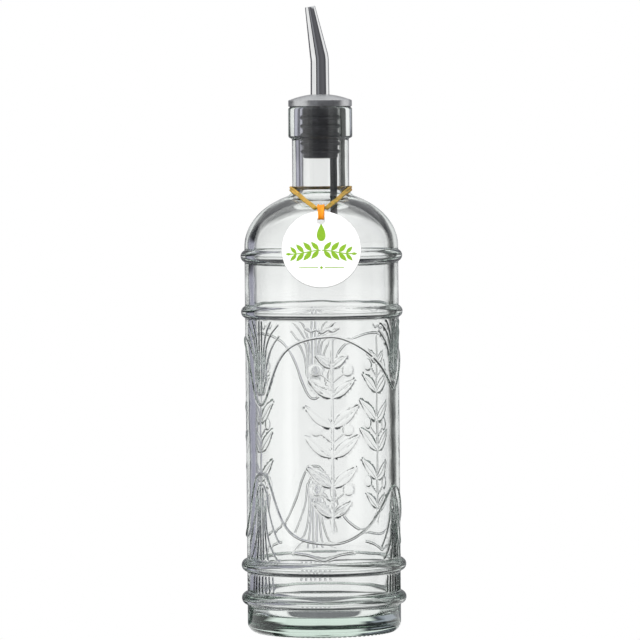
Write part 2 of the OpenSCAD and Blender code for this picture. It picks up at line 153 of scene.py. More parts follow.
def mix(
    tree: bpy.types.NodeTree,
    share: bpy.types.NodeSocket,
    first: bpy.types.NodeSocket | Sequence[float],
    second: bpy.types.NodeSocket | Sequence[float],
) -> bpy.types.NodeSocket:
    """Mixes two colours: a share of 0 gives the first, and 1 the second."""
    inputs = {"Fac": share, "Color1": first, "Color2": second}
    return add_node(tree, "MixRGB", inputs).outputs["Color"]


def add_object(name: str, data: bpy.types.ID) -> bpy.types.Object:
    """Makes an object of a mesh, a camera or a light, and links it to the scene."""
    obj = bpy.data.objects.new(name, data)
    bpy.context.scene.collection.objects.link(obj)
    return obj


def select_only(obj: bpy.types.Object) -> None:
    """Makes one object the only selected one, and the active one."""
    bpy.ops.object.select_all(action="DESELECT")
    obj.select_set(True)
    bpy.context.view_layer.objects.active = obj


def lathe(
    name: str, outline: Outline, steps: int, closed: bool = False, offset: float = 0.0
) -> bpy.types.Object:
    """Draws an outline point by point in the XZ plane and spins it about Z.

    Args:
        name: the new object's name.
        outline: (radius, height) points in millimetres, from end to end.
        steps: number of steps in a full turn.
        closed: True if the outline's end joins its start, for a ring.
        offset: how far along X the axis of the finished piece lies, in millimetres.

    Returns:
        The new object, closed, with its faces outwards.
    """
    bpy.ops.object.select_all(action="DESELECT")
    first = Vector((outline[0][0] * MM, 0, outline[0][1] * MM))
    bpy.ops.mesh.primitive_circle_add(vertices=3, radius=MM, location=first)
    obj = bpy.context.object
    obj.name = name
    bpy.ops.object.transform_apply(location=True)
    bpy.ops.object.mode_set(mode="EDIT")
    bpy.ops.mesh.select_mode(type="VERT")
    bpy.ops.mesh.select_all(action="SELECT")
    bpy.ops.mesh.merge(type="CENTER")
    here = outline[0]
    for there in outline[1:] + ([outline[0]] if closed else []):
        step = ((there[0] - here[0]) * MM, 0, (there[1] - here[1]) * MM)
        bpy.ops.mesh.extrude_region_move(TRANSFORM_OT_translate={"value": step})
        here = there
    bpy.ops.mesh.select_all(action="SELECT")
    bpy.ops.mesh.remove_doubles(threshold=1e-6)
    bpy.ops.mesh.spin(steps=steps, angle=math.tau, center=(0, 0, 0), axis=(0, 0, 1))
    bpy.ops.mesh.select_all(action="SELECT")
    bpy.ops.mesh.remove_doubles(threshold=1e-6)
    bpy.ops.mesh.normals_make_consistent(inside=False)
    if offset:
        bpy.ops.transform.translate(value=(offset * MM, 0, 0))
    bpy.ops.object.mode_set(mode="OBJECT")
    return obj


def loft(name: str, rings: Sequence[Sequence[Vector]], ring_of_rings: bool = False) -> bpy.types.Object:
    """Joins rings of points into one skin.

    Args:
        name: the new object's name.
        rings: rings with the same number of points each, in millimetres.
        ring_of_rings: True if the last ring joins the first. Otherwise both ends are capped.

    Returns:
        The new object, closed, with its faces outwards.
    """
    mesh = bmesh.new()
    loops = [[mesh.verts.new(p * MM) for p in ring] for ring in rings]
    count = len(loops[0])
    pairs = list(zip(loops, loops[1:] + loops[:1])) if ring_of_rings else list(zip(loops, loops[1:]))
    for low, high in pairs:
        for i in range(count):
            j = (i + 1) % count
            mesh.faces.new((low[i], low[j], high[j], high[i]))
    if not ring_of_rings:
        mesh.faces.new(loops[0])
        mesh.faces.new(loops[-1])
    bmesh.ops.recalc_face_normals(mesh, faces=mesh.faces)
    data = bpy.data.meshes.new(name)
    mesh.to_mesh(data)
    mesh.free()
    return add_object(name, data)


def apply_modifier(obj: bpy.types.Object, kind: str, **settings) -> None:
    """Adds a modifier to an object and applies it.

    Args:
        obj: the object.
        kind: the modifier's type, such as "BEVEL".
        settings: the modifier's own values.
    """
    select_only(obj)
    modifier = obj.modifiers.new(kind.title(), kind)
    for name, value in settings.items():
        setattr(modifier, name, value)
    bpy.ops.object.modifier_apply(modifier=modifier.name)


def drill(obj: bpy.types.Object, x: float, radius: float, low: float, high: float) -> None:
    """Cuts a round vertical hole through an object.

    Args:
        obj: the object.
        x: how far along X the hole's axis lies, in millimetres.
        radius: the hole's radius in millimetres.
        low: lower end of the cut.
        high: upper end of the cut.
    """
    bpy.ops.object.select_all(action="DESELECT")
    place, depth = (x * MM, 0, (low + high) / 2 * MM), (high - low) * MM
    bpy.ops.mesh.primitive_cylinder_add(vertices=32, radius=radius * MM, depth=depth, location=place)
    cutter = bpy.context.object
    apply_modifier(obj, "BOOLEAN", object=cutter, operation="DIFFERENCE", solver="EXACT")
    bpy.data.objects.remove(cutter, do_unlink=True)


def finish_piece(
    obj: bpy.types.Object, material: bpy.types.Material, body: str, nodes: Sequence[str] = ()
) -> bpy.types.Object:
    """Smooths and dresses a piece, and ties it to the frame.

    Args:
        obj: the piece.
        material: its finish.
        body: the CAD body that it moves with.
        nodes: the CAD nodes that it stands for.

    Returns:
        The same object.
    """
    select_only(obj)
    bpy.ops.object.shade_smooth_by_angle(angle=math.radians(50))
    obj.data.materials.clear()
    obj.data.materials.append(material)
    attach(obj, body)
    if nodes:
        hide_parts(*nodes)
    LOG.info("%s: %d faces on %s", obj.name, len(obj.data.polygons), body)
    return obj


def arc(centre: Point, radius: float, start: float, end: float, steps: int) -> Outline:
    """Points of an arc.

    Args:
        centre: its centre.
        radius: its radius.
        start: angle of the first point, in degrees.
        end: angle of the last point, in degrees.
        steps: number of chords.

    Returns:
        steps + 1 points.
    """
    angles = [math.radians(start + (end - start) * i / steps) for i in range(steps + 1)]
    return [(centre[0] + radius * math.cos(a), centre[1] + radius * math.sin(a)) for a in angles]


def between(p: float, q: float, r: float, s: float, t: float) -> float:
    """A smooth value a share t of the way from q to r, with p before them and s after them."""
    square = (2 * p - 5 * q + 4 * r - s) * t**2
    cube = (3 * q - p - 3 * r + s) * t**3
    return 0.5 * (2 * q + (r - p) * t + square + cube)


def inner_steps(start: float, end: float, steps: int) -> list[float]:
    """Evenly spaced values between start and end, without these two."""
    return [start + (end - start) * i / steps for i in range(1, steps)]


def smooth_line(points: Sequence[Point], cuts: int = 6) -> Outline:
    """Draws a smooth curve through points, as a bent spring would lie.

    Args:
        points: the points it passes through.
        cuts: chords between each two of them.

    Returns:
        Points along the curve.
    """
    ends = [points[0], *points, points[-1]]
    line: Outline = []
    for a, b, c, d in zip(ends, ends[1:], ends[2:], ends[3:]):
        line += [tuple(between(*near, i / cuts) for near in zip(a, b, c, d)) for i in range(cuts)]
    return [*line, points[-1]]


# --- Finishes ---


def noise(
    tree: bpy.types.NodeTree, scale: float, detail: float = 2.0, stretch: Triple | None = None
) -> bpy.types.NodeSocket:
    """Adds noise in the piece's own coordinates.

    Args:
        tree: the node tree that gets the nodes.
        scale: waves in a metre, or in a stretched unit.
        detail: how many finer waves lie on the coarse ones.
        stretch: factors along the three axes, for a grain that runs one way.

    Returns:
        The noise, from 0 to 1.
    """
    place = add_node(tree, "TexCoord").outputs["Object"]
    if stretch:
        place = add_node(tree, "Mapping", {"Vector": place, "Scale": stretch}).outputs["Vector"]
    return add_node(tree, "TexNoise", {"Vector": place, "Scale": scale, "Detail": detail}).outputs["Fac"]


def bump(
    tree: bpy.types.NodeTree, height: bpy.types.NodeSocket, strength: float, depth_mm: float
) -> bpy.types.NodeSocket:
    """Adds a fine unevenness and gives its normal. The depth is in millimetres."""
    inputs = {"Height": height, "Strength": strength, "Distance": depth_mm * MM}
    return add_node(tree, "Bump", inputs).outputs["Normal"]


def principled(tree: bpy.types.NodeTree, output: bpy.types.Node, inputs: dict) -> None:
    """Adds a Principled shader with its inputs and puts it on the surface."""
    shader = add_node(tree, "BsdfPrincipled", inputs)
    tree.links.new(shader.outputs["BSDF"], output.inputs["Surface"])


@dataclass(frozen=True)
class PressedGlass:
    """Soda-lime glass pressed in an iron mould: clear, with a faint green cast where it is thick."""

    name: str = "pressed_soda_lime_glass"
    ior: float = 1.52
    # The green of iron in cheap glass. Two walls of 4 mm lose about a fortieth of the light.
    absorbed: str = "#93D8B2"
    density: float = 6.0
    # Chill marks of the mould: wide, soft waves.
    wave_mm: float = 14.0
    wave_strength: float = 0.25
    wave_depth_mm: float = 0.6

    def material(self) -> bpy.types.Material:
        """Builds the glass."""
        material, tree, output = new_material(self.name)
        waves = noise(tree, 1 / (self.wave_mm * MM), 1.0)
        principled(
            tree,
            output,
            {
                "Base Color": linear_colour("#FEFEFE"),
                "Roughness": 0.0,
                "IOR": self.ior,
                "Transmission Weight": 1.0,
                "Normal": bump(tree, waves, self.wave_strength, self.wave_depth_mm),
            },
        )
        absorption = {"Color": linear_colour(self.absorbed), "Density": self.density}
        inside = add_node(tree, "VolumeAbsorption", absorption)
        tree.links.new(inside.outputs["Volume"], output.inputs["Volume"])
        return material


@dataclass(frozen=True)
class MouldedRubber:
    """Food-grade black rubber, moulded: matt, with a slight bloom and a fine grain."""

    name: str = "moulded_black_rubber"
    colour: str = "#4C4C50"
    bloom: str = "#68686D"
    bloom_per_m: float = 120.0
    grain_mm: float = 0.6
    grain_strength: float = 0.3
    grain_depth_mm: float = 0.05
    roughness: float = 0.5

    def material(self) -> bpy.types.Material:
        """Builds the rubber."""
        material, tree, output = new_material(self.name)
        grain = noise(tree, 1 / (self.grain_mm * MM), 3.0)
        cloud = noise(tree, self.bloom_per_m, 4.0)
        colour = ramp(tree, cloud, [(0.35, self.colour), (0.75, self.bloom)])
        normal = bump(tree, grain, self.grain_strength, self.grain_depth_mm)
        principled(tree, output, {"Base Color": colour, "Roughness": self.roughness, "Normal": normal})
        return material


class Polish(Enum):
    """How the steel's surface was made."""

    BRIGHT = "bright"
    SATIN = "satin"


@dataclass(frozen=True)
class StainlessSteel:
    """Stainless steel, either drawn bright or spun to a satin."""

    polish: Polish

    def material(self) -> bpy.types.Material:
        """Builds the steel."""
        material, tree, output = new_material("stainless_steel_" + self.polish.value)
        bright = self.polish is Polish.BRIGHT
        # Drawing leaves fine lines along the tube, and the satin is even.
        grain = noise(tree, 1.0, 2.0, (3200, 3200, 120) if bright else (900, 900, 900))
        smooth, rough = (0.04, 0.1) if bright else (0.28, 0.4)
        dull, light = ("#E2E3E4", "#F2F3F3") if bright else ("#C2C3C4", "#D3D4D5")
        roughness = map_range(tree, grain, 0.3, 0.7, smooth, rough)
        colour = ramp(tree, grain, [(0.3, dull), (0.7, light)])
        principled(tree, output, {"Base Color": colour, "Metallic": 1.0, "Roughness": roughness})
        return material


@dataclass(frozen=True)
class ExtrudedPlastic:
    """Dark grey plastic tube, extruded: smooth, with faint lines along it."""

    name: str = "extruded_dark_plastic"
    colour: str = "#2B2D33"
    streak: str = "#3D4047"
    roughness: float = 0.35

    def material(self) -> bpy.types.Material:
        """Builds the plastic."""
        material, tree, output = new_material(self.name)
        lines = noise(tree, 1.0, 2.0, (2500, 2500, 60))
        colour = ramp(tree, lines, [(0.3, self.colour), (0.8, self.streak)])
        principled(tree, output, {"Base Color": colour, "Roughness": self.roughness})
        return material


@dataclass(frozen=True)
class Elastic:
    """Natural rubber elastic: a little translucent, with a cloudy tone and a fine unevenness."""

    name: str
    colour: str
    shade: str
    cloud_per_m: float = 420.0
    uneven_mm: float = 0.1
    roughness: float = 0.42

    def material(self) -> bpy.types.Material:
        """Builds the elastic."""
        material, tree, output = new_material(self.name)
        cloud = noise(tree, self.cloud_per_m, 3.0)
        principled(
            tree,
            output,
            {
                "Base Color": ramp(tree, cloud, [(0.32, self.shade), (0.62, self.colour)]),
                "Roughness": self.roughness,
                "Subsurface Weight": 0.15,
                "Subsurface Radius": (0.0008, 0.0004, 0.0001),
                "Normal": bump(tree, cloud, 0.3, self.uneven_mm),
            },
        )
        return material


@dataclass(frozen=True)
class CoatedCard:
    """White card with a smooth clay coating: matt, with a trace of fibre."""

    name: str = "coated_white_card"
    colour: str = "#FBFBFA"
    shade: str = "#F4F4F2"
    # Grey of the cut edge: the board's colour, and painted shade along the card's rim.
    board_and_rim_shade: str = "#8E8E8A"
    fibre_per_m: float = 1800.0
    fibre_mm: float = 0.03
    roughness: float = 0.55
    # How the card's front faces, in its resting place.
    front: Triple = (0.0, -0.956, 0.292)

    def material(self) -> bpy.types.Material:
        """Builds the card."""
        material, tree, output = new_material(self.name)
        fibre = noise(tree, self.fibre_per_m, 4.0)
        coating = ramp(tree, fibre, [(0.3, self.shade), (0.6, self.colour)])
        # The coating stops at the cut edge, which is painted grey: the board's colour, and painted shade for
        # the dark line along the card's rim.
        normal = add_node(tree, "TexCoord").outputs["Normal"]
        facing = add_node(tree, "VectorMath", {0: normal, 1: self.front}, operation="DOT_PRODUCT")
        flat = add_node(tree, "Math", {0: facing.outputs["Value"]}, operation="ABSOLUTE")
        coated = map_range(tree, flat.outputs[0], 0.75, 0.95)
        colour = mix(tree, coated, linear_colour(self.board_and_rim_shade), coating)
        uneven = bump(tree, fibre, 0.15, self.fibre_mm)
        principled(tree, output, {"Base Color": colour, "Roughness": self.roughness, "Normal": uneven})
        return material


@dataclass(frozen=True)
class PrintingInk:
    """Leaf-green offset ink on the card, slightly uneven."""

    name: str = "leaf_green_ink"
    colour: str = "#86B21A"
    shade: str = "#7BA815"
    mottle_per_m: float = 900.0
    roughness: float = 0.4

    def material(self) -> bpy.types.Material:
        """Builds the ink."""
        material, tree, output = new_material(self.name)
        mottle = noise(tree, self.mottle_per_m, 3.0)
        colour = ramp(tree, mottle, [(0.3, self.shade), (0.7, self.colour)])
        principled(tree, output, {"Base Color": colour, "Roughness": self.roughness})
        return material


# --- The relief on the glass ---

# Spacing of the relief's mesh along a ridge and along a leaf, in millimetres.
RIDGE_CHORD = 0.8
LEAF_CHORD = 0.75
# Rows of the mesh across a ridge and across a leaf, as shares of the half width there.
RIDGE_ROWS = (-1, -0.7, -0.35, 0, 0.35, 0.7, 1)
LEAF_ROWS = (-1, -0.94, -0.86, -0.7, -0.3, -0.14, 0, 0.14, 0.3, 0.7, 0.86, 0.94, 1)
# Rings of the mesh on a berry: share of its radius and number of places.
BERRY_RINGS = ((1.0, 28), (0.94, 28), (0.85, 24), (0.65, 14), (0.3, 6))


@dataclass(frozen=True)
class Ridge:
    """A rounded line that stands out of the glass, along points of (distance round the body, height)."""

    line: tuple[Point, ...]
    half_width: float = 0.8
    height: float = 0.6

    def lift(self, u: np.ndarray, z: np.ndarray, spread: float, girth: float) -> np.ndarray:
        """How far the glass stands out at each place.

        Args:
            u: distances round the body from the front, in millimetres.
            z: heights.
            spread: extra half width, used to find what lies near the line.
            girth: the body's whole circumference.

        Returns:
            The lift at each place.
        """
        points = np.array(self.line)
        middle = (points[:, 0].min() + points[:, 0].max()) / 2
        reach = self.half_width + spread
        du = (u - middle + girth / 2) % girth - girth / 2
        span = (points[:, 0].max() - points[:, 0].min()) / 2 + reach
        near = (np.abs(du) < span) & (z > points[:, 1].min() - reach) & (z < points[:, 1].max() + reach)
        lift = np.zeros_like(u)
        if not near.any():
            return lift
        place = np.stack([du[near] + middle, z[near]], axis=1)
        best = np.full(len(place), np.inf)
        for a, b in zip(points[:-1], points[1:]):
            along = b - a
            t = np.clip((place - a) @ along / max(along @ along, 1e-9), 0, 1)
            best = np.minimum(best, np.hypot(*(place - a - t[:, None] * along).T))
        share = np.clip(1 - best / reach, 0, 1)
        lift[near] = self.height * np.sin(share * math.pi / 2) ** 2
        return lift

    def places(self) -> list[Point]:
        """Places across and along the line, close enough to shape its round back."""
        half = self.half_width
        points: list[Point] = []
        line = [Vector(p) for p in self.line]
        for i, (a, b) in enumerate(zip(line, line[1:])):
            chords = max(1, round((b - a).length / RIDGE_CHORD))
            before = line[max(i - 1, 0)]
            after = line[min(i + 2, len(line) - 1)]
            for j in range(chords + (i == len(line) - 2)):
                t = j / chords
                along = ((b - before).normalized() * (1 - t) + (after - a).normalized() * t).normalized()
                here = a.lerp(b, t)
                points += [(here.x - along.y * k * half, here.y + along.x * k * half) for k in RIDGE_ROWS]
        return points


@dataclass(frozen=True)
class Leaf:
    """A raised leaf with a sunk midrib, from its base along its length."""

    base: Point
    length: float
    angle: float
    half_width: float
    height: float = 0.46
    # A swell under 1 makes the leaf widest nearer its base, and a higher edge makes its rim steeper.
    swell: float = 0.8
    edge: int = 8
    rib_depth: float = 0.55
    rib_half: float = 0.45

    def lift(self, u: np.ndarray, z: np.ndarray, spread: float, girth: float) -> np.ndarray:
        """How far the glass stands out at each place. Args and result as for a Ridge."""
        du = (u - self.base[0] + girth / 2) % girth - girth / 2
        dz = z - self.base[1]
        cos_a, sin_a = math.cos(math.radians(self.angle)), math.sin(math.radians(self.angle))
        along = (du * cos_a + dz * sin_a) / self.length
        across = np.abs(-du * sin_a + dz * cos_a)
        inside = (along > -spread / self.length) & (along < 1 + spread / self.length)
        width = self.half_width * np.sin(np.clip(along, 0, 1) ** self.swell * math.pi) + spread
        rim = np.clip(across / np.maximum(width, 1e-6), 0, 1)
        rib = 1 - self.rib_depth * np.exp(-((across / self.rib_half) ** 2))
        lift = self.height * (1 - rim**self.edge) * (rib if spread == 0 else 1)
        return np.where(inside & (across < width), lift, 0)

    def places(self) -> list[Point]:
        """Places along the leaf's edges, its slopes and its midrib."""
        cos_a, sin_a = math.cos(math.radians(self.angle)), math.sin(math.radians(self.angle))
        points: list[Point] = []
        stations = max(8, round(self.length / LEAF_CHORD))
        for i in range(stations + 1):
            t = i / stations
            width = self.half_width * math.sin(math.pi * t**self.swell)
            for row in LEAF_ROWS:
                x, y = self.length * t, row * width
                points.append((self.base[0] + x * cos_a - y * sin_a, self.base[1] + x * sin_a + y * cos_a))
        return points


@dataclass(frozen=True)
class Berry:
    """A raised round berry."""

    centre: Point
    radius: float
    height: float = 0.48
    # How steeply its edge falls off.
    edge: int = 6

    def lift(self, u: np.ndarray, z: np.ndarray, spread: float, girth: float) -> np.ndarray:
        """How far the glass stands out at each place. Args and result as for a Ridge."""
        du = (u - self.centre[0] + girth / 2) % girth - girth / 2
        far = np.hypot(du, z - self.centre[1]) / (self.radius + spread)
        return np.where(far < 1, self.height * (1 - np.clip(far, 0, 1) ** self.edge), 0)

    def places(self) -> list[Point]:
        """Rings of places from the berry's edge to its middle."""
        points = [self.centre]
        for share, count in BERRY_RINGS:
            points += arc(self.centre, share * self.radius, 0, 360 - 360 / count, count - 1)
        return points


@dataclass(frozen=True)
class Fan:
    """A fluted fan that hangs from the upper beads, and one like it that stands on the lower ones.

    Each border is given by its half width and its sharpness.
    """

    reach: float
    upper: Point
    lower: Point


@dataclass(frozen=True)
class Flute:
    """A flute on either side of a fan's middle.

    tip and end are distances from the middle, tip_share and end_share parts of the fan's height, and
    flare says how late it turns outwards.
    """

    tip: float
    end: float
    tip_share: float
    end_share: float
    flare: float


@dataclass
class ReliefDesign:
    """The pressed ornament between two beads: fans, borders and a leafy sprig, repeated round the body."""

    radius: float
    low: float
    high: float
    panels: int = 3
    panel_turn: float = 7.0
    arch_gap: float = 10.8
    sill_gap: float = 12.3
    border_half: float = 0.75
    border_h: float = 0.62
    fans: tuple[Fan, ...] = (
        Fan(25.6, (13.7, 1.7), (15.4, 2.3)),
        Fan(32.3, (9.6, 2.5), (10.6, 3.0)),
        Fan(32.3, (9.6, 2.5), (10.6, 3.0)),
    )
    upper_flutes: tuple[Flute, ...] = (
        Flute(0.95, 0.95, 0.14, 0.96, 1.0),
        Flute(2.1, 7.0, 0.25, 0.9, 4.0),
        Flute(3.1, 11.4, 0.27, 0.87, 3.7),
        Flute(3.9, 12.0, 0.25, 0.75, 2.5),
    )
    lower_flutes: tuple[Flute, ...] = (
        Flute(0.9, 0.9, 0.15, 0.97, 1.0),
        Flute(2.0, 4.3, 0.35, 0.92, 2.2),
        Flute(2.9, 11.2, 0.28, 0.93, 3.3),
        Flute(3.9, 11.2, 0.2, 0.72, 1.75),
    )
    flute_half: float = 0.62
    flute_h: float = 0.40
    # The line nested in a fan's tip: how much narrower and shorter than the border, and how far it runs.
    nest_narrow: float = 1.55
    nest_drop: float = 5.0
    nest_reach: float = 4.6
    # The winged scrolls lie a little to the left of the panel's middle. Their points are distances from
    # there and heights, followed by the line's half width.
    wing_shift: float = -4.5
    wing_h: float = 0.52
    upper_wing: tuple[tuple[Point, ...], float] = (
        (
            (-7.4, 145.4),
            (-5.2, 144.2),
            (-2.6, 144.9),
            (0, 143.6),
            (2.6, 144.9),
            (5.2, 144.2),
            (7.4, 145.4),
        ),
        0.6,
    )
    lower_wing: tuple[tuple[Point, ...], float] = (
        ((-14, 40.2), (-8, 39.4), (-4, 38.2), (0, 36.9), (4, 38.2), (8, 39.4), (14, 40.2)),
        0.8,
    )
    stem_half: float = 0.95
    stem_h: float = 0.5
    sprig_rise: float = 12.5
    leaf_pairs: int = 6
    leaf_pitch: float = 14.0
    leaf_len: float = 17.5
    leaf_angle: float = 38.0
    leaf_slimness: float = 0.17
    # The leaves are longest by this lead under the panel's middle, and nothing at the fade's share of its
    # height from there.
    leaf_lead: float = 4.0
    leaf_fade: float = 0.6
    berry_r: float = 2.9
    berry_out: float = 7.6
    stalk_half: float = 0.45
    stalk_h: float = 0.35

    @property
    def arch_z(self) -> float:
        """Height of the border's arches."""
        return self.high - self.arch_gap

    @property
    def sill_z(self) -> float:
        """Height of the border's lower arches."""
        return self.low + self.sill_gap

    @property
    def half_panel(self) -> float:
        """Distance round the body from a fan's middle to a panel's middle."""
        return math.pi * self.radius / self.panels

    def fall(self, u: float, reach: float, shape: Point) -> float:
        """How far a border keeps from its arch at a distance round the body from a fan's middle."""
        fade = (1 - (abs(u) / self.half_panel) ** 4) ** 2
        return reach * fade / (1 + (abs(u) / shape[0]) ** shape[1])

    def fan_ridges(self, fan: Fan, middle: float) -> list[Ridge]:
        """The borders and flutes of a fan.

        Args:
            fan: the fan.
            middle: its distance round the body from the front.

        Returns:
            The ridges above and below.
        """
        ridges: list[Ridge] = []
        # The border's points lie closer towards its tip.
        steps, crowding = 22, 1.5
        shares = [math.copysign(abs(i / steps) ** crowding, i) for i in range(-steps, steps + 1)]
        places = [self.half_panel * share for share in shares]
        flute_shares = [i / 8 for i in range(9)]
        for up, base, bead, shape, flutes in (
            (1, self.arch_z, self.high, fan.upper, self.upper_flutes),
            (-1, self.sill_z, self.low, fan.lower, self.lower_flutes),
        ):
            border = [(middle + u, base - up * self.fall(u, fan.reach, shape)) for u in places]
            ridges.append(Ridge(tuple(border), self.border_half, self.border_h))
            # A finer line nests inside the tip of the border.
            near = [u for u in places if abs(u) < self.nest_reach]
            falls = [self.fall(u * self.nest_narrow, fan.reach, shape) - self.nest_drop for u in near]
            inner = [(middle + u, base - up * fall) for u, fall in zip(near, falls)]
            ridges.append(Ridge(tuple(inner), self.flute_half, self.flute_h))
            tip = base - up * fan.reach
            for flute in flutes:
                span = flute.end_share - flute.tip_share
                across = [flute.tip + (flute.end - flute.tip) * t**flute.flare for t in flute_shares]
                heights = [tip + (bead - tip) * (flute.tip_share + span * t) for t in flute_shares]
                for side in (-1, 1):
                    line = tuple((middle + side * u, z) for u, z in zip(across, heights))
                    ridges.append(Ridge(line, self.flute_half, self.flute_h))
        return ridges

    def wings(self, apex: float) -> list[Ridge]:
        """A small winged scroll above the arch, and a broader one below it."""
        return [
            Ridge(tuple(smooth_line([(apex + u, z) for u, z in line])), half, self.wing_h)
            for line, half in (self.upper_wing, self.lower_wing)
        ]

    def sprig(self, apex: float) -> list[Ridge | Leaf | Berry]:
        """A leafy sprig with berries that fills a panel, its two sides alike."""
        low = self.sill_z + self.sprig_rise
        middle = (self.arch_z + self.sill_z) / 2
        top = low + self.leaf_pairs * self.leaf_pitch - 2 * self.border_half
        foot = (apex, self.sill_z + self.sprig_rise / 2)
        stem = Ridge((foot, (apex, top)), self.stem_half, self.stem_h)
        parts: list[Ridge | Leaf | Berry] = [stem]
        for i in range(self.leaf_pairs):
            z = low + i * self.leaf_pitch
            fade = self.leaf_fade * (self.arch_z - self.sill_z)
            length = self.leaf_len * (1 - ((z + self.leaf_lead - middle) / fade) ** 2)
            for angle in (self.leaf_angle, 180 - self.leaf_angle):
                parts.append(Leaf((apex, z), length, angle, length * self.leaf_slimness))
        for i in range(0, self.leaf_pairs, 2):
            z = low + (i + 0.5) * self.leaf_pitch
            rise = self.berry_out * math.tan(math.radians(self.leaf_angle))
            for side in (-1, 1):
                centre = (apex + side * self.berry_out, z + rise)
                parts.append(Ridge(((apex, z), centre), self.stalk_half, self.stalk_h))
                parts.append(Berry(centre, self.berry_r))
        return parts

    def features(self) -> list[Ridge | Leaf | Berry]:
        """All the relief round the body."""
        parts: list[Ridge | Leaf | Berry] = []
        for i, fan in enumerate(self.fans):
            apex = math.radians(self.panel_turn) * self.radius + 2 * i * self.half_panel
            parts += self.fan_ridges(fan, apex + self.half_panel)
            parts += self.wings(apex + self.wing_shift)
            parts += self.sprig(apex)
        return parts

    def lift(self, u: np.ndarray, z: np.ndarray, spread: float = 0.0) -> np.ndarray:
        """How far the glass stands out at each place: the highest of what crosses there.

        Args:
            u: distances round the body from the front.
            z: heights.
            spread: extra half width, used to find what lies near the relief.

        Returns:
            The lift at each place.
        """
        total = np.zeros_like(u)
        for part in self.features():
            total = np.maximum(total, part.lift(u, z, spread, math.tau * self.radius))
        return total


@dataclass
class FootFlutes(ReliefDesign):
    """Short flutes that carry each fan on over the second bead, down to the first."""

    pitch: float = 2.3
    pairs: int = 3
    splay: float = 0.4

    def features(self) -> list[Ridge | Leaf | Berry]:
        """The flutes under all the fans, spread a little towards the foot."""
        parts: list[Ridge | Leaf | Berry] = []
        for i in range(self.panels):
            middle = math.radians(self.panel_turn) * self.radius + (2 * i + 1) * self.half_panel
            for k in range(-self.pairs, self.pairs + 1):
                top = middle + k * self.pitch
                line = ((top + k * self.splay, self.low), (top, self.high))
                parts.append(Ridge(line, self.flute_half, self.flute_h))
        return parts


# --- The bottle ---


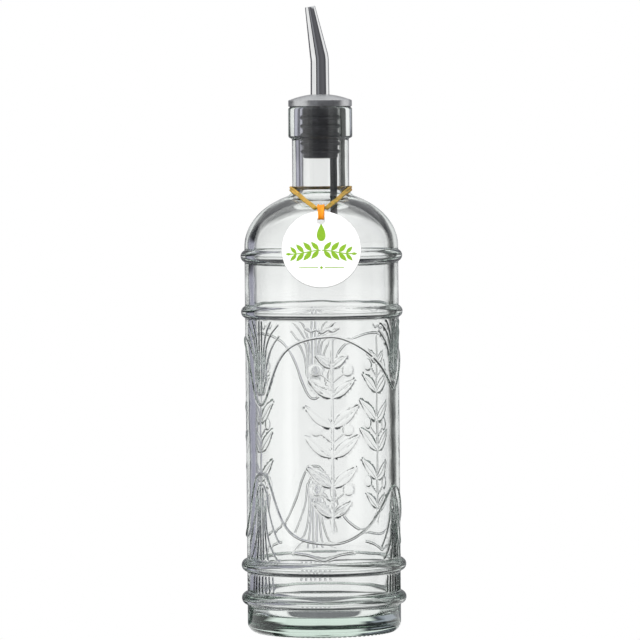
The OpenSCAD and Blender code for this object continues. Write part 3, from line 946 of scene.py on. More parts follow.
@dataclass
class GlassBottle:
    """The pressed glass bottle: thick lip, domed shoulder, beads, relief and a heavy base."""

    body_r: float = 36.5
    wall: float = 4.0
    shoulder_z: float = 183.5
    dome_h: float = 26.5
    heel_r: float = 5.0
    bearing_w: float = 6.0
    push_up: float = 3.0
    base_glass: float = 9.0
    floor_r: float = 8.0
    bead_r: float = 3.0
    bead_fillet: float = 0.7
    beads: tuple[tuple[float, float], ...] = ((16.5, 2.7), (32.2, 2.7), (152.5, 1.9), (179.0, 1.9))
    neck_r: float = 13.5
    bore_r: float = 9.75
    neck_fillet: float = 4.0
    lip_fillet: float = 0.8
    lip_r: float = 15.2
    lip_h: float = 14.7
    lip_round: float = 1.2
    height: float = 249.5
    steps: int = 160
    knurl_h: float = 0.5
    knurl_slant: float = 1.5
    # Least distance between two places of the relief's mesh.
    fine_mm: float = 0.09
    # Distance that the open mesh keeps from the relief, and that the close mesh keeps from a wall's edges.
    open_gap: float = 0.35
    edge_gap: float = 0.3
    # The relief runs out over this height at a wall's ends.
    fade_h: float = 0.5
    # Where a wall's seam lies, as a share of the way from a sprig's middle to a fan's.
    seam_share: float = 0.55

    def bead(self, z: float, reach: float) -> Outline:
        """Half section of a bead with a fillet above and below it.

        Args:
            z: its height.
            reach: how far it stands out of the body.

        Returns:
            Points from below the bead to above it.
        """
        centre = self.body_r + reach - self.bead_r
        off = self.body_r + self.bead_fillet - centre
        rise = math.sqrt((self.bead_r + self.bead_fillet) ** 2 - off**2)
        turn = math.degrees(math.atan2(rise, -off))
        fillet = (self.body_r + self.bead_fillet, z - rise)
        below = arc(fillet, self.bead_fillet, 180, turn, 4)
        back = arc((centre, z), self.bead_r, turn - 180, 180 - turn, 16)
        above = [(r, 2 * z - h) for r, h in reversed(below)]
        return [*below, *back[1:-1], *above]

    def shoulder(self, a: float, b: float, x: float, fillet: float) -> Outline:
        """An elliptical dome from the body, filleted into the neck.

        Args:
            a: the dome's half axis outwards.
            b: its half axis upwards.
            x: radius of the neck that it runs into.
            fillet: radius between the dome and the neck.

        Returns:
            Points from the body up to the neck.
        """

        def reach(t: float) -> Point:
            """The dome's outward normal at an angle, as (out, up)."""
            far = math.hypot(b * math.cos(t), a * math.sin(t))
            return (b * math.cos(t) / far, a * math.sin(t) / far)

        # The dome ends where its fillet just reaches the neck.
        low, high = 0.0, math.pi / 2
        for _ in range(40):
            t = (low + high) / 2
            low, high = (t, high) if a * math.cos(t) + fillet * reach(t)[0] > x + fillet else (low, t)
        out, up = reach(t)
        centre = (x + fillet, self.shoulder_z + b * math.sin(t) + fillet * up)
        turns = [t * i / 28 for i in range(29)]
        dome = [(a * math.cos(turn), self.shoulder_z + b * math.sin(turn)) for turn in turns]
        return dome + arc(centre, fillet, 180 + math.degrees(math.atan2(up, out)), 180, 12)[1:]

    def low_dome(self, radius: float, base: float) -> Outline:
        """The push-up's shallow dome, from the axis to its edge."""
        return [(radius * i / 14, base + self.push_up * (1 - (i / 14) ** 2)) for i in range(15)]

    def outlines(self) -> list[Outline]:
        """The bottle's half section without its two decorated walls.

        Returns:
            The outline from the axis under the base up to the lower wall, the one between the walls, and
            the one from the upper wall over the lip and down the inside to the axis.
        """
        hollow = self.body_r - self.heel_r - self.bearing_w
        outside = self.low_dome(hollow, 0.0)
        outside += [(hollow + self.bearing_w * i / 4, 0.0) for i in range(1, 4)]
        outside += arc((self.body_r - self.heel_r, self.heel_r), self.heel_r, -90, 0, 12)
        below: list[Outline] = []
        for i, (z, reach) in enumerate(self.beads):
            if i in (1, 2):
                below.append(outside)
                outside = []
            outside += self.bead(z, reach)
        outside += self.shoulder(self.body_r, self.dome_h, self.neck_r, self.neck_fillet)
        under, fillet, lip_round = self.height - self.lip_h, self.lip_fillet, self.lip_round
        outside += arc((self.neck_r + fillet, under - fillet), fillet, 180, 90, 4)
        outside += arc((self.lip_r - lip_round, under + lip_round), lip_round, -90, 0, 6)
        outside += arc((self.lip_r - lip_round, self.height - lip_round), lip_round, 0, 90, 6)
        mouth = lip_round / 2
        inside_r = self.body_r - self.wall
        inside = arc((self.bore_r + mouth, self.height - mouth), mouth, 90, 180, 5)
        fillet = self.neck_fillet + self.neck_r - self.bore_r
        inside += reversed(self.shoulder(inside_r, self.dome_h - self.wall, self.bore_r, fillet))
        floor_z = self.base_glass + self.floor_r
        inside += [(inside_r, z) for z in inner_steps(self.shoulder_z, floor_z, 4)]
        edge = inside_r - self.floor_r
        inside += arc((edge, floor_z), self.floor_r, 0, -90, 12)
        inside += list(reversed(self.low_dome(edge, self.base_glass)))[1:]
        return [*below, outside + inside]

    def reliefs(self) -> tuple[ReliefDesign, ReliefDesign]:
        """The relief between the first and second beads, and the one between the second and third."""
        first, second, third = (z for z, _ in self.beads[:3])
        return FootFlutes(self.body_r, first, second), ReliefDesign(self.body_r, second, third)

    def wall_places(self, design: ReliefDesign, low: float, high: float) -> tuple[list[Point], float]:
        """Places on a decorated wall, as (distance round the body, height).

        Args:
            design: the wall's relief.
            low: height of the wall's lower end.
            high: height of its upper end.

        Returns:
            The places, and the distance round the body at which the wall's seam lies.
        """
        girth, pitch = math.tau * self.body_r, math.tau * self.body_r / self.steps
        # The seam crosses only the borders, between a sprig and a fan.
        apex = math.radians(design.panel_turn) * self.body_r
        seam = pitch * round((apex + self.seam_share * design.half_panel) / pitch)
        rows = max(2, round((high - low) / pitch))
        heights = [low + (high - low) * j / rows for j in range(rows + 1)]
        grid = [(seam + pitch * i, height) for i in range(self.steps + 1) for height in heights]
        u, z = np.array(grid).T
        hair = 0.01
        edge = (u < seam + hair) | (u > seam + girth - hair) | (z < low + hair) | (z > high - hair)
        keep = edge | (design.lift(u, z, self.open_gap) == 0)
        places = [p for p, kept in zip(grid, keep) if kept]
        fine, gap = self.fine_mm, self.edge_gap
        taken = {(round(x / fine), round(y / fine)) for x, y in places}
        beside = [(i, j) for i in (-1, 0, 1) for j in (-1, 0, 1)]
        for part in design.features():
            for x, y in part.places():
                x = seam + (x - seam) % girth
                cell = (round(x / fine), round(y / fine))
                inside = seam + gap < x < seam + girth - gap and low + gap < y < high - gap
                if inside and not any((cell[0] + i, cell[1] + j) in taken for i, j in beside):
                    taken.add(cell)
                    places.append((x, y))
        return places, seam

    def relief_wall(self, design: ReliefDesign, low: float, high: float) -> bpy.types.Object:
        """A decorated wall, its mesh close where the ornament runs and open elsewhere.

        Args:
            design: the wall's relief.
            low: height of the wall's lower end.
            high: height of its upper end.

        Returns:
            The wall, open at both ends.
        """
        places, seam = self.wall_places(design, low, high)
        girth = math.tau * self.body_r
        places += [(seam, low), (seam + girth, low), (seam + girth, high), (seam, high)]
        points, _, faces, *_ = delaunay_2d_cdt([Vector(p) for p in places], [], [], 0, 1e-4)
        u, z = np.array([p[:] for p in points]).T
        a, b, c = np.array(faces).T
        area = np.abs((u[b] - u[a]) * (z[c] - z[a]) - (u[c] - u[a]) * (z[b] - z[a])) / 2
        least_area = 1e-3
        faces = [face for face, size in zip(faces, area) if size > least_area]
        # The relief runs out at the wall's ends, which meet the spun parts.
        r = self.body_r + design.lift(u, z) * np.clip(np.minimum(z - low, high - z) / self.fade_h, 0, 1)
        turn = u / self.body_r
        verts = np.stack([r * np.sin(turn), -r * np.cos(turn), z], axis=1) * MM
        mesh = bpy.data.meshes.new("relief_wall")
        mesh.from_pydata(verts.tolist(), [], faces)
        return add_object("relief_wall", mesh)

    def knurl(self, foot: bpy.types.Object) -> None:
        """Cuts slanting notches across the bearing ring, so that the bottle doesn't slip."""
        inner = self.body_r - self.heel_r - self.bearing_w
        for vertex in foot.data.vertices:
            x, y, z = vertex.co / MM
            r = math.hypot(x, y)
            if r > inner + self.knurl_h and z < self.knurl_h:
                tooth = math.degrees(math.atan2(y, x)) * self.steps / 360 + (r - inner) / self.knurl_slant
                vertex.co.z += self.knurl_h * MM * (round(tooth) % 2)

    def smooth_relief(self, obj: bpy.types.Object, design: ReliefDesign, low: float, high: float) -> None:
        """Gives a decorated wall's faces the normals of the drawn relief, free of the mesh's unevenness.

        Args:
            obj: the finished bottle.
            design: the wall's relief.
            low: height of the wall's lower end.
            high: height of its upper end.
        """
        mesh, step = obj.data, 0.05
        places = np.empty(3 * len(mesh.vertices))
        mesh.vertices.foreach_get("co", places)
        x, y, z = places.reshape(-1, 3).T / MM
        shaped = np.flatnonzero((z > low + step) & (z < high - step) & (np.hypot(x, y) > self.body_r - step))
        turn, z = np.arctan2(x[shaped], -y[shaped]), z[shaped]
        u = turn * self.body_r
        along = (design.lift(u + step, z) - design.lift(u - step, z)) / (2 * step)
        rise = (design.lift(u, z + step) - design.lift(u, z - step)) / (2 * step)
        sin_t, cos_t = np.sin(turn), np.cos(turn)
        exact = np.stack([sin_t - along * cos_t, -cos_t - along * sin_t, -rise], axis=1)
        exact /= np.linalg.norm(exact, axis=1)[:, None]
        by_vertex = np.zeros((len(mesh.vertices), 3))
        by_vertex[shaped] = exact
        corners = np.empty(len(mesh.loops), dtype=int)
        mesh.loops.foreach_get("vertex_index", corners)
        normals = np.empty(3 * len(mesh.loops))
        mesh.corner_normals.foreach_get("vector", normals)
        normals = normals.reshape(-1, 3)
        on_relief = np.isin(corners, shaped)
        normals[on_relief] = by_vertex[corners[on_relief]]
        mesh.normals_split_custom_set(normals.tolist())

    def build(self) -> bpy.types.Object:
        """Builds and dresses the bottle."""
        lines = self.outlines()
        names = ("glass_foot", "glass_belt", "glass_bottle")
        foot, belt, top = (lathe(name, line, self.steps) for name, line in zip(names, lines))
        self.knurl(foot)
        gaps = zip(self.reliefs(), lines, lines[1:])
        walls = [(design, below[-1][1], above[0][1]) for design, below, above in gaps]
        parts = [foot, belt, *(self.relief_wall(*wall) for wall in walls)]
        select_only(top)
        for part in parts:
            part.select_set(True)
        bpy.ops.object.join()
        bpy.ops.object.mode_set(mode="EDIT")
        bpy.ops.mesh.select_all(action="SELECT")
        bpy.ops.mesh.remove_doubles(threshold=2e-5)
        bpy.ops.mesh.normals_make_consistent(inside=False)
        bpy.ops.object.mode_set(mode="OBJECT")
        finish_piece(top, PressedGlass().material(), "bottle", ["bottle"])
        for wall in walls:
            self.smooth_relief(top, *wall)
        return top


# --- The pourer ---


@dataclass
class Pourer:
    """Rubber plug, steel cap, bent steel spout and breather tube, pushed into the bottle's mouth."""

    glass_h: float = 249.5
    cap_r: float = 15.1
    skirt_gap: float = 0.3
    skirt_h: float = 2.9
    dome_h: float = 3.0
    sheet: float = 0.6
    edge_round: float = 0.45
    hem_r: float = 0.3
    # The least gap between the cap and what it touches.
    fit_gap: float = 0.02
    plug_len: float = 24.0
    plug_top_r: float = 8.5
    plug_tip_r: float = 8.2
    plug_round: float = 0.8
    # The plug is straight for this height under its flange.
    plug_straight: float = 0.5
    bore_r: float = 9.75
    ribs: int = 5
    rib_start: float = 5.3
    rib_pitch: float = 3.9
    rib_half: float = 1.1
    rib_step: float = 0.06
    rib_gap: float = 0.05
    # A rib's back is blunter than a half wave.
    rib_blunt: float = 0.8
    root_r: float = 3.9
    spout_r: float = 4.5
    bend_r: float = 4.35
    tip_r: float = 2.45
    spout_wall: float = 0.5
    bend_rise: float = 21.0
    bend_sweep: float = 20.0
    lean: float = 10.0
    lean_len: float = 23.5
    breather_x: float = 6.2
    breather_r: float = 1.7
    breather_bore: float = 1.1
    breather_len: float = 41.0
    breather_depth: float = 12.0
    vent_r: float = 0.9

    @property
    def skirt_z(self) -> float:
        """Height of the lower edge of the cap's skirt."""
        return self.glass_h + self.skirt_gap

    @property
    def cap_edge_z(self) -> float:
        """Height at which the cap's dome begins."""
        return self.skirt_z + self.skirt_h

    @property
    def plug_z(self) -> float:
        """Height of the plug's lower end."""
        return self.glass_h - self.plug_len

    def dome_z(self, r: float, inset: float = 0.0) -> float:
        """Height of the cap's dome at a radius, or of its inner face if inset by the sheet."""
        ball = (self.cap_r**2 + self.dome_h**2) / (2 * self.dome_h)
        return self.cap_edge_z + self.dome_h - ball + math.sqrt((ball - inset) ** 2 - r**2)

    def build_stopper(self) -> bpy.types.Object:
        """The plug with its flange and its rounded sealing ribs."""
        flange_r = self.cap_r - self.sheet
        flange_top = self.dome_z(flange_r, self.sheet)
        soft = self.plug_round
        outline: Outline = [(self.root_r, self.plug_z), (self.plug_tip_r - soft, self.plug_z)]
        outline += arc((self.plug_tip_r - soft, self.plug_z + soft), soft, -90, 0, 5)

        def core(z: float) -> float:
            """Radius of the plug between its ribs at a height."""
            share = (z - self.plug_z) / self.plug_len
            return self.plug_tip_r + (self.plug_top_r - self.plug_tip_r) * share

        for i in reversed(range(self.ribs)):
            z = self.glass_h - self.rib_start - i * self.rib_pitch
            tip = self.bore_r - self.rib_gap - i * self.rib_step
            for share in (-1, -0.72, -0.5, -0.32, -0.14, 0.14, 0.32, 0.5, 0.72, 1):
                bulge = math.cos(share * math.pi / 2) ** self.rib_blunt if abs(share) < 1 else 0
                base = core(z + share * self.rib_half)
                outline.append((base + (tip - base) * bulge, z + share * self.rib_half))
        outline += [(self.plug_top_r, self.glass_h - self.plug_straight), (self.plug_top_r, self.glass_h)]
        outline += [(flange_r, self.glass_h), (flange_r, flange_top), (self.root_r, flange_top)]
        obj = lathe("stopper_plug", outline, 96, closed=True)
        return finish_piece(obj, MouldedRubber().material(), "pourer", ["stopper"])

    def build_cap(self) -> bpy.types.Object:
        """The domed steel cap, a pressed sheet with a rolled edge, and its vent hole."""
        r, e, hem = self.cap_r, self.edge_round, self.hem_r
        inner, hole = r - self.sheet, self.spout_r + self.fit_gap
        across = [hole + (r - e - self.spout_r) * i / 16 for i in range(16)]
        outline = [(x, self.dome_z(x)) for x in across]
        outline += arc((r - e, self.cap_edge_z - e * 0.6), e, 68, 0, 5)
        outline += arc((r - hem, self.skirt_z + hem), hem, 0, -180, 6)
        outline += [(inner, self.dome_z(inner, self.sheet) - self.fit_gap)]
        outline += [(x, self.dome_z(x, self.sheet)) for x in (inner - 3, inner - 6, hole)]
        obj = lathe("spout_cap", outline, 128, closed=True)
        drill(obj, self.breather_x, self.vent_r, self.glass_h, self.cap_edge_z + 2 * self.dome_h)
        return finish_piece(obj, StainlessSteel(Polish.SATIN).material(), "pourer", ["cap"])

    def tube_ring(self, along: float, radius: float, sides: int = 72) -> list[Vector]:
        """A ring of the bent spout.

        Args:
            along: distance past the start of the bend, along the tube's middle.
            radius: the ring's radius.
            sides: number of points.

        Returns:
            The ring's points.
        """
        bend = math.radians(self.lean) * self.bend_sweep
        turn = math.radians(self.lean) * min(max(along / bend, 0), 1)
        rest = max(0.0, along - bend)
        x = self.bend_sweep * (math.cos(turn) - 1) - rest * math.sin(turn)
        z = self.bend_sweep * math.sin(turn) + rest * math.cos(turn) + min(along, 0)
        middle = Vector((x, 0, self.glass_h + self.bend_rise + z))
        side, across = Vector((math.cos(turn), 0, math.sin(turn))), Vector((0, 1, 0))
        angles = [math.tau * k / sides for k in range(sides)]
        return [middle + side * radius * math.cos(a) + across * radius * math.sin(a) for a in angles]

    def build_spout(self) -> bpy.types.Object:
        """The tapered and bent spout, one tube with a dressed lip."""
        bend = math.radians(self.lean) * self.bend_sweep
        start = self.glass_h + self.bend_rise
        # Each ring is (distance past the start of the bend, radius).
        seat = self.dome_z(self.cap_r - self.sheet, self.sheet) - start
        outer = [(self.plug_z - start, self.root_r), (seat, self.root_r), (seat, self.spout_r)]
        outer += zip(inner_steps(seat, 0.0, 6), inner_steps(self.spout_r, self.bend_r, 6))
        outer += [(bend * i / 8, self.bend_r) for i in range(9)]
        taper = zip(inner_steps(0.0, self.lean_len, 12), inner_steps(self.bend_r, self.tip_r, 12))
        outer += [(bend + past, radius) for past, radius in taper]
        half = self.spout_wall / 2
        rim, middle = bend + self.lean_len - half, self.tip_r - half
        turns = (0, 0.5, 1.05, 1.57, 2.1, 2.64, math.pi)
        lip = [(rim + half * math.sin(a), middle + half * math.cos(a)) for a in turns]
        inner: Outline = []
        for along, radius in reversed(outer):
            # The step on to the flange lies a wall's thickness higher inside.
            raised = self.spout_wall if along < 0 and radius > self.root_r else 0
            inner.append((along + raised, radius - self.spout_wall))
        rings = [self.tube_ring(s, r) for s, r in [*outer, *lip, *inner]]
        obj = loft("spout_tube", rings, ring_of_rings=True)
        return finish_piece(obj, StainlessSteel(Polish.BRIGHT).material(), "pourer", ["spout"])

    def build_breather(self) -> bpy.types.Object:
        """The breather tube, with its end cut square and softened."""
        low, high = self.plug_z - self.breather_len, self.plug_z + self.breather_depth
        r, bore, soft = self.breather_r, self.breather_bore, 0.15
        outline = arc((bore + soft, low + soft), soft, 180, 270, 3)
        outline += arc((r - soft, low + soft), soft, -90, 0, 3)
        outline += [(r, high), (bore, high)]
        obj = lathe("breather_pipe", outline, 48, closed=True, offset=self.breather_x)
        plastic = ExtrudedPlastic().material()
        return finish_piece(obj, plastic, "pourer", ["breather_tube"])

    def build(self) -> None:
        """Builds the four pieces."""
        self.build_stopper()
        self.build_cap()
        self.build_spout()
        self.build_breather()


# --- The elastic and the tag ---


@dataclass(frozen=True)
class TagPrint:
    """The card's print, as (right, up) from its middle: a drop over a garland of leaves, and a rule below."""

    drop_half: float = 2.7
    drop_rise: float = 4.3
    drop_z: float = 8.2
    drop_point: float = 0.55
    garland_z: float = -1.4
    garland_sag: float = 0.9
    garland_reach: float = 13.5
    stem_ends: Point = (0.3, 14.2)
    stem_half: float = 0.28
    # Each pair's distance from the middle and the length of its leaves.
    leaf_pairs: tuple[Point, ...] = ((1.2, 5.4), (4.6, 5.8), (8.2, 5.4), (11.6, 4.4))
    leaf_angle: float = 48.0
    leaf_off: float = 0.2
    leaf_slimness: float = 0.2
    leaf_swell: float = 0.85
    # The leaf at the garland's end: place, length and half width.
    end_leaf: tuple[float, float, float, float] = (14, -2.3, 2.8, 0.65)
    rule: tuple[Point, ...] = ((1.6, -8.7), (10.5, -8.7), (10.5, -9.1), (1.6, -9.1))
    lozenge: tuple[Point, ...] = ((0, -8.1), (0.8, -8.9), (0, -9.7), (-0.8, -8.9))

    def garland(self, x: float) -> float:
        """Height of the garland's stem at a distance from the middle."""
        return self.garland_z + self.garland_sag * math.cos(x / self.garland_reach * math.pi)

    def leaf(self, x: float, y: float, length: float, half_width: float, angle: float) -> Outline:
        """Outline of a leaf from its base, turned by an angle in degrees."""
        c, s = math.cos(math.radians(angle)), math.sin(math.radians(angle))
        shares = np.linspace(0, 1, 15)
        upper = [(length * t, half_width * math.sin(math.pi * t**self.leaf_swell)) for t in shares]
        points = upper + [(a, -b) for a, b in reversed(upper[1:-1])]
        return [(x + a * c - b * s, y + a * s + b * c) for a, b in points]

    def drop(self) -> Outline:
        """Outline of the drop."""
        points: Outline = []
        for a in np.linspace(0, math.tau, 40)[:-1]:
            across = self.drop_half * math.sin(a) * (0.5 - 0.5 * math.cos(a)) ** self.drop_point
            points.append((across, self.drop_z + self.drop_rise * math.cos(a)))
        return points

    def shapes(self) -> list[Outline]:
        """Outlines of all that is printed, in millimetres."""
        shapes = [self.drop()]
        half = self.stem_half
        for side in (-1, 1):
            stem = [(side * x, self.garland(x)) for x in np.linspace(*self.stem_ends, 16)]
            shapes.append([(x, y + half) for x, y in stem] + [(x, y - half) for x, y in reversed(stem)])
            for x, size in self.leaf_pairs:
                for turn in (self.leaf_angle, -self.leaf_angle):
                    base = self.garland(x) + self.leaf_off * math.copysign(1, turn)
                    angle = turn if side > 0 else 180 - turn
                    shapes.append(self.leaf(side * x, base, size, size * self.leaf_slimness, angle))
            x, y, length, half_width = self.end_leaf
            shapes.append(self.leaf(side * x, y, length, half_width, 0 if side > 0 else 180))
            shapes.append([(side * x, y) for x, y in self.rule])
        shapes.append(list(self.lozenge))
        return shapes


@dataclass
class HangingTag:
    """The elastic hitched round the neck, and the round card that hangs from it."""

    bottle: GlassBottle
    rest_gap: float = 0.3
    loop_gap: float = 0.1
    band_w: float = 2.4
    band_t: float = 1.1
    band_drop: float = 24.0
    knot_rise: float = 17.0
    knot_bar_r: float = 0.75
    knot_x: float = 2.9
    knot_lump_r: float = 1.0
    loop_w: float = 2.8
    # The loop spreads where it passes over the knot.
    loop_spread: float = 1.25
    loop_t: float = 0.8
    tag_r: float = 18.6
    tag_t: float = 0.6
    tag_soft: float = 0.2
    hole_r: float = 1.8
    hole_edge: float = 4.7
    lean: float = 17.0
    tag_hole_rise: float = 16.6
    glass: Outline = field(default_factory=list)

    def __post_init__(self) -> None:
        """Works out where the band, the knot and the card lie on the glass."""
        b = self.bottle
        neck_top = b.height - b.lip_h
        self.glass = b.shoulder(b.body_r, b.dome_h, b.neck_r, b.neck_fillet) + [(b.neck_r, neck_top)]
        self.band_z = neck_top - self.band_drop
        self.seat_z = b.shoulder_z + self.knot_rise
        out, up = self.normal(self.seat_z)
        self.knot_off = self.rest_gap + self.loop_t + self.loop_gap + self.knot_bar_r
        knot_r = self.radius(self.seat_z) + self.knot_off * out
        self.knot = Vector((0, -knot_r, self.seat_z + self.knot_off * up))
        turn = math.radians(self.lean)
        self.up = Vector((0, math.sin(turn), math.cos(turn)))
        self.out = Vector((0, -math.cos(turn), math.sin(turn)))
        bead_z, reach = b.beads[3]
        bead = Vector((0, -(b.body_r + reach - b.bead_r), bead_z))
        off = b.bead_r + self.rest_gap + self.tag_t / 2
        self.hole = bead + self.out * off + self.up * self.tag_hole_rise
        self.card = self.hole - self.up * (self.tag_r - self.hole_edge)

    def radius(self, z: float) -> float:
        """Radius of the glass outside at a height of the shoulder or neck."""
        return float(np.interp(z, [p[1] for p in self.glass], [p[0] for p in self.glass]))

    def normal(self, z: float) -> Point:
        """Outward normal of the glass at a height, as (radial, up)."""
        step = 0.4
        slope = (self.radius(z + step) - self.radius(z - step)) / (2 * step)
        far = math.hypot(1, slope)
        return (1 / far, -slope / far)

    def band_stations(self) -> list[tuple[Vector, Vector]]:
        """Places along the band with the glass's normal there, from the knot round the neck and back."""
        rest = self.rest_gap + self.band_t / 2
        side_r = self.radius(self.band_z) + rest
        lump_x, steps = self.knot_x, 34
        begin = math.asin(lump_x / side_r)
        front: list[tuple[Vector, Vector]] = []
        for i in range(steps):
            x = side_r * math.sin(begin + (math.pi / 2 - begin) * i / steps)
            share = (x - lump_x) / (side_r - lump_x)
            z = self.seat_z + (self.band_z - self.seat_z) * share
            out, up = self.normal(z)
            # The band comes off the glass on to the knot.
            near = max(0.0, 1 - (x - lump_x) / (2 * lump_x))
            off = rest + (self.knot_off - rest) * near * near * (3 - 2 * near)
            r = self.radius(z) + off * out
            a = math.asin(min(1.0, x / r))
            place = Vector((r * math.sin(a), -r * math.cos(a), z + off * up))
            front.append((place, Vector((out * math.sin(a), -out * math.cos(a), up))))
        back = [(math.cos(math.pi * i / 40), math.sin(math.pi * i / 40)) for i in range(41)]
        around = [(Vector((side_r * x, side_r * y, self.band_z)), Vector((x, y, 0))) for x, y in back]
        left = [(Vector((-p.x, p.y, p.z)), Vector((-n.x, n.y, n.z))) for p, n in reversed(front)]
        return front + around + left

    @staticmethod
    def twin_section(width: float, thickness: float) -> Outline:
        """Section of two round strands that lie side by side and cling together, as (across, out)."""
        r = thickness / 2
        off = width / 2 - r
        # Between the strands, the section sinks to a share of their thickness.
        valley, dip, least, slack = off * 0.35, 0.55, 0.3, 0.9
        points: Outline = []
        for side, begin, end in ((1, -150, 150), (-1, 30, 330)):
            turns = [math.radians(a) for a in np.linspace(begin, end, 13)]
            points += [(side * off + r * math.cos(turn), r * math.sin(turn)) for turn in turns]
        sunk = [y * dip / max(least, abs(y) / r) * slack for _, y in points]
        return [(x, y if abs(x) > valley else low) for (x, y), low in zip(points, sunk)]

    def sweep(
        self,
        name: str,
        stations: Sequence[tuple[Vector, Vector]],
        section: Outline,
        ring: bool,
        widths: Sequence[float] | None = None,
    ) -> bpy.types.Object:
        """Draws a section along a path.

        Args:
            name: the new object's name.
            stations: place and outward direction at each point of the path.
            section: the section, as (across, out).
            ring: True if the path closes on itself.
            widths: how much wider than drawn the section is at each station.

        Returns:
            The new object.
        """
        rings = []
        count = len(stations)
        for i, (place, normal) in enumerate(stations):
            before = stations[(i - 1) % count][0] if ring or i else place
            after = stations[(i + 1) % count][0] if ring or i < count - 1 else place
            along = (after - before).normalized()
            across = along.cross(normal).normalized()
            out = across.cross(along).normalized()
            wide = widths[i] if widths else 1.0
            rings.append([place + across * x * wide + out * y for x, y in section])
        return loft(name, rings, ring)

    def build_band(self) -> bpy.types.Object:
        """The elastic round the neck, with the two turns of its knot."""
        section = self.twin_section(self.band_w, self.band_t)
        obj = self.sweep("neck_elastic", self.band_stations(), section, False)
        parts = [obj]
        lump_x, lump_r = self.knot_x, self.knot_lump_r * MM
        for x in (-lump_x, lump_x):
            bpy.ops.object.select_all(action="DESELECT")
            place = (self.knot + Vector((x, 0, 0))) * MM
            bpy.ops.mesh.primitive_uv_sphere_add(segments=24, ring_count=14, radius=lump_r, location=place)
            parts.append(bpy.context.object)
        bpy.ops.mesh.primitive_cylinder_add(
            vertices=24,
            radius=self.knot_bar_r * MM,
            depth=2 * lump_x * MM,
            location=self.knot * MM,
            rotation=(0, math.pi / 2, 0),
        )
        parts.append(bpy.context.object)
        for part in parts:
            part.select_set(True)
        bpy.context.view_layer.objects.active = obj
        bpy.ops.object.join()
        bpy.ops.object.transform_apply(location=True, rotation=True, scale=True)
        # Painted shade: the band is the loop's orange elastic, painted duller and darker than where it is lit
        # at the knot.
        finish = Elastic("shaded_orange_elastic", "#C99A3A", "#8A7A2C")
        return finish_piece(obj, finish.material(), "neck_band", ["neck_band"])

    def loop_stations(self) -> list[tuple[Vector, Vector]]:
        """Places along the loop through the card's hole and round the knot's bar."""
        off = self.tag_t / 2 + self.loop_gap + self.loop_t / 2
        bar = self.knot_bar_r + self.loop_gap + self.loop_t / 2
        to_knot = self.knot - self.hole
        knot = (to_knot.dot(self.up), to_knot.dot(self.out))
        low, turn = self.loop_t, off / 2
        front, back = (self.hole_edge + self.loop_gap, off), (self.hole_edge / 2, -off)

        def touch(p: Point, side: int) -> float:
            """Bearing on the knot's bar at which a straight strand from a place touches it."""
            du, dv = knot[0] - p[0], knot[1] - p[1]
            grip = 90 + math.degrees(math.asin(bar / math.hypot(du, dv)))
            return math.degrees(math.atan2(dv, du)) + side * grip

        path = [(low, 0.0), (low + turn * 0.4, turn), (low + turn * 1.4, off), (low + 2.2, off), front]
        path += arc(knot, bar, touch(front, 1), touch(back, -1), 14)
        path += [back, (low + turn * 1.4, -off), (low + turn * 0.4, -turn)]
        places = [self.hole + self.up * u + self.out * v for u, v in path]
        count = len(places)
        stations = []
        for i, place in enumerate(places):
            along = (places[(i + 1) % count] - places[(i - 1) % count]).normalized()
            stations.append((place, Vector((1, 0, 0)).cross(along)))
        return stations

    def build_loop(self) -> bpy.types.Object:
        """The loop of elastic that holds the card."""
        section = self.twin_section(self.loop_w, self.loop_t)
        stations = self.loop_stations()
        far = (self.knot - self.hole).length
        shares = [min(1, (place - self.hole).length / far) for place, _ in stations]
        widths = [1 + (self.loop_spread - 1) * share**2 for share in shares]
        obj = self.sweep("tag_elastic", stations, section, True, widths)
        finish = Elastic("orange_elastic", "#F59A10", "#D97A08")
        return finish_piece(obj, finish.material(), "tag", ["tag_loop"])

    def card_frame(self) -> Matrix:
        """The turn and shift that lay a drawing (right, up, out) on the card as it hangs at rest."""
        right = Vector((1, 0, 0))
        turn = Matrix((right, self.up, self.out)).transposed().to_4x4()
        return Matrix.Translation(self.card * MM) @ turn

    def build_card(self) -> bpy.types.Object:
        """The round card with its hole."""
        bpy.ops.object.select_all(action="DESELECT")
        bpy.ops.mesh.primitive_circle_add(vertices=128, radius=self.tag_r * MM, location=(0, 0, 0))
        obj = bpy.context.object
        obj.name = "hang_tag"
        bpy.ops.object.mode_set(mode="EDIT")
        hole = (0, (self.tag_r - self.hole_edge) * MM, 0)
        bpy.ops.mesh.primitive_circle_add(vertices=40, radius=self.hole_r * MM, location=hole)
        bpy.ops.mesh.select_all(action="SELECT")
        bpy.ops.mesh.fill()
        bpy.ops.mesh.normals_make_consistent(inside=False)
        bpy.ops.object.mode_set(mode="OBJECT")
        apply_modifier(obj, "SOLIDIFY", thickness=self.tag_t * MM, offset=0)
        sharp = math.radians(60)
        soft = self.tag_soft * MM
        apply_modifier(obj, "BEVEL", width=soft, segments=3, limit_method="ANGLE", angle_limit=sharp)
        obj.data.transform(self.card_frame())
        return finish_piece(obj, CoatedCard().material(), "tag", ["tag"])

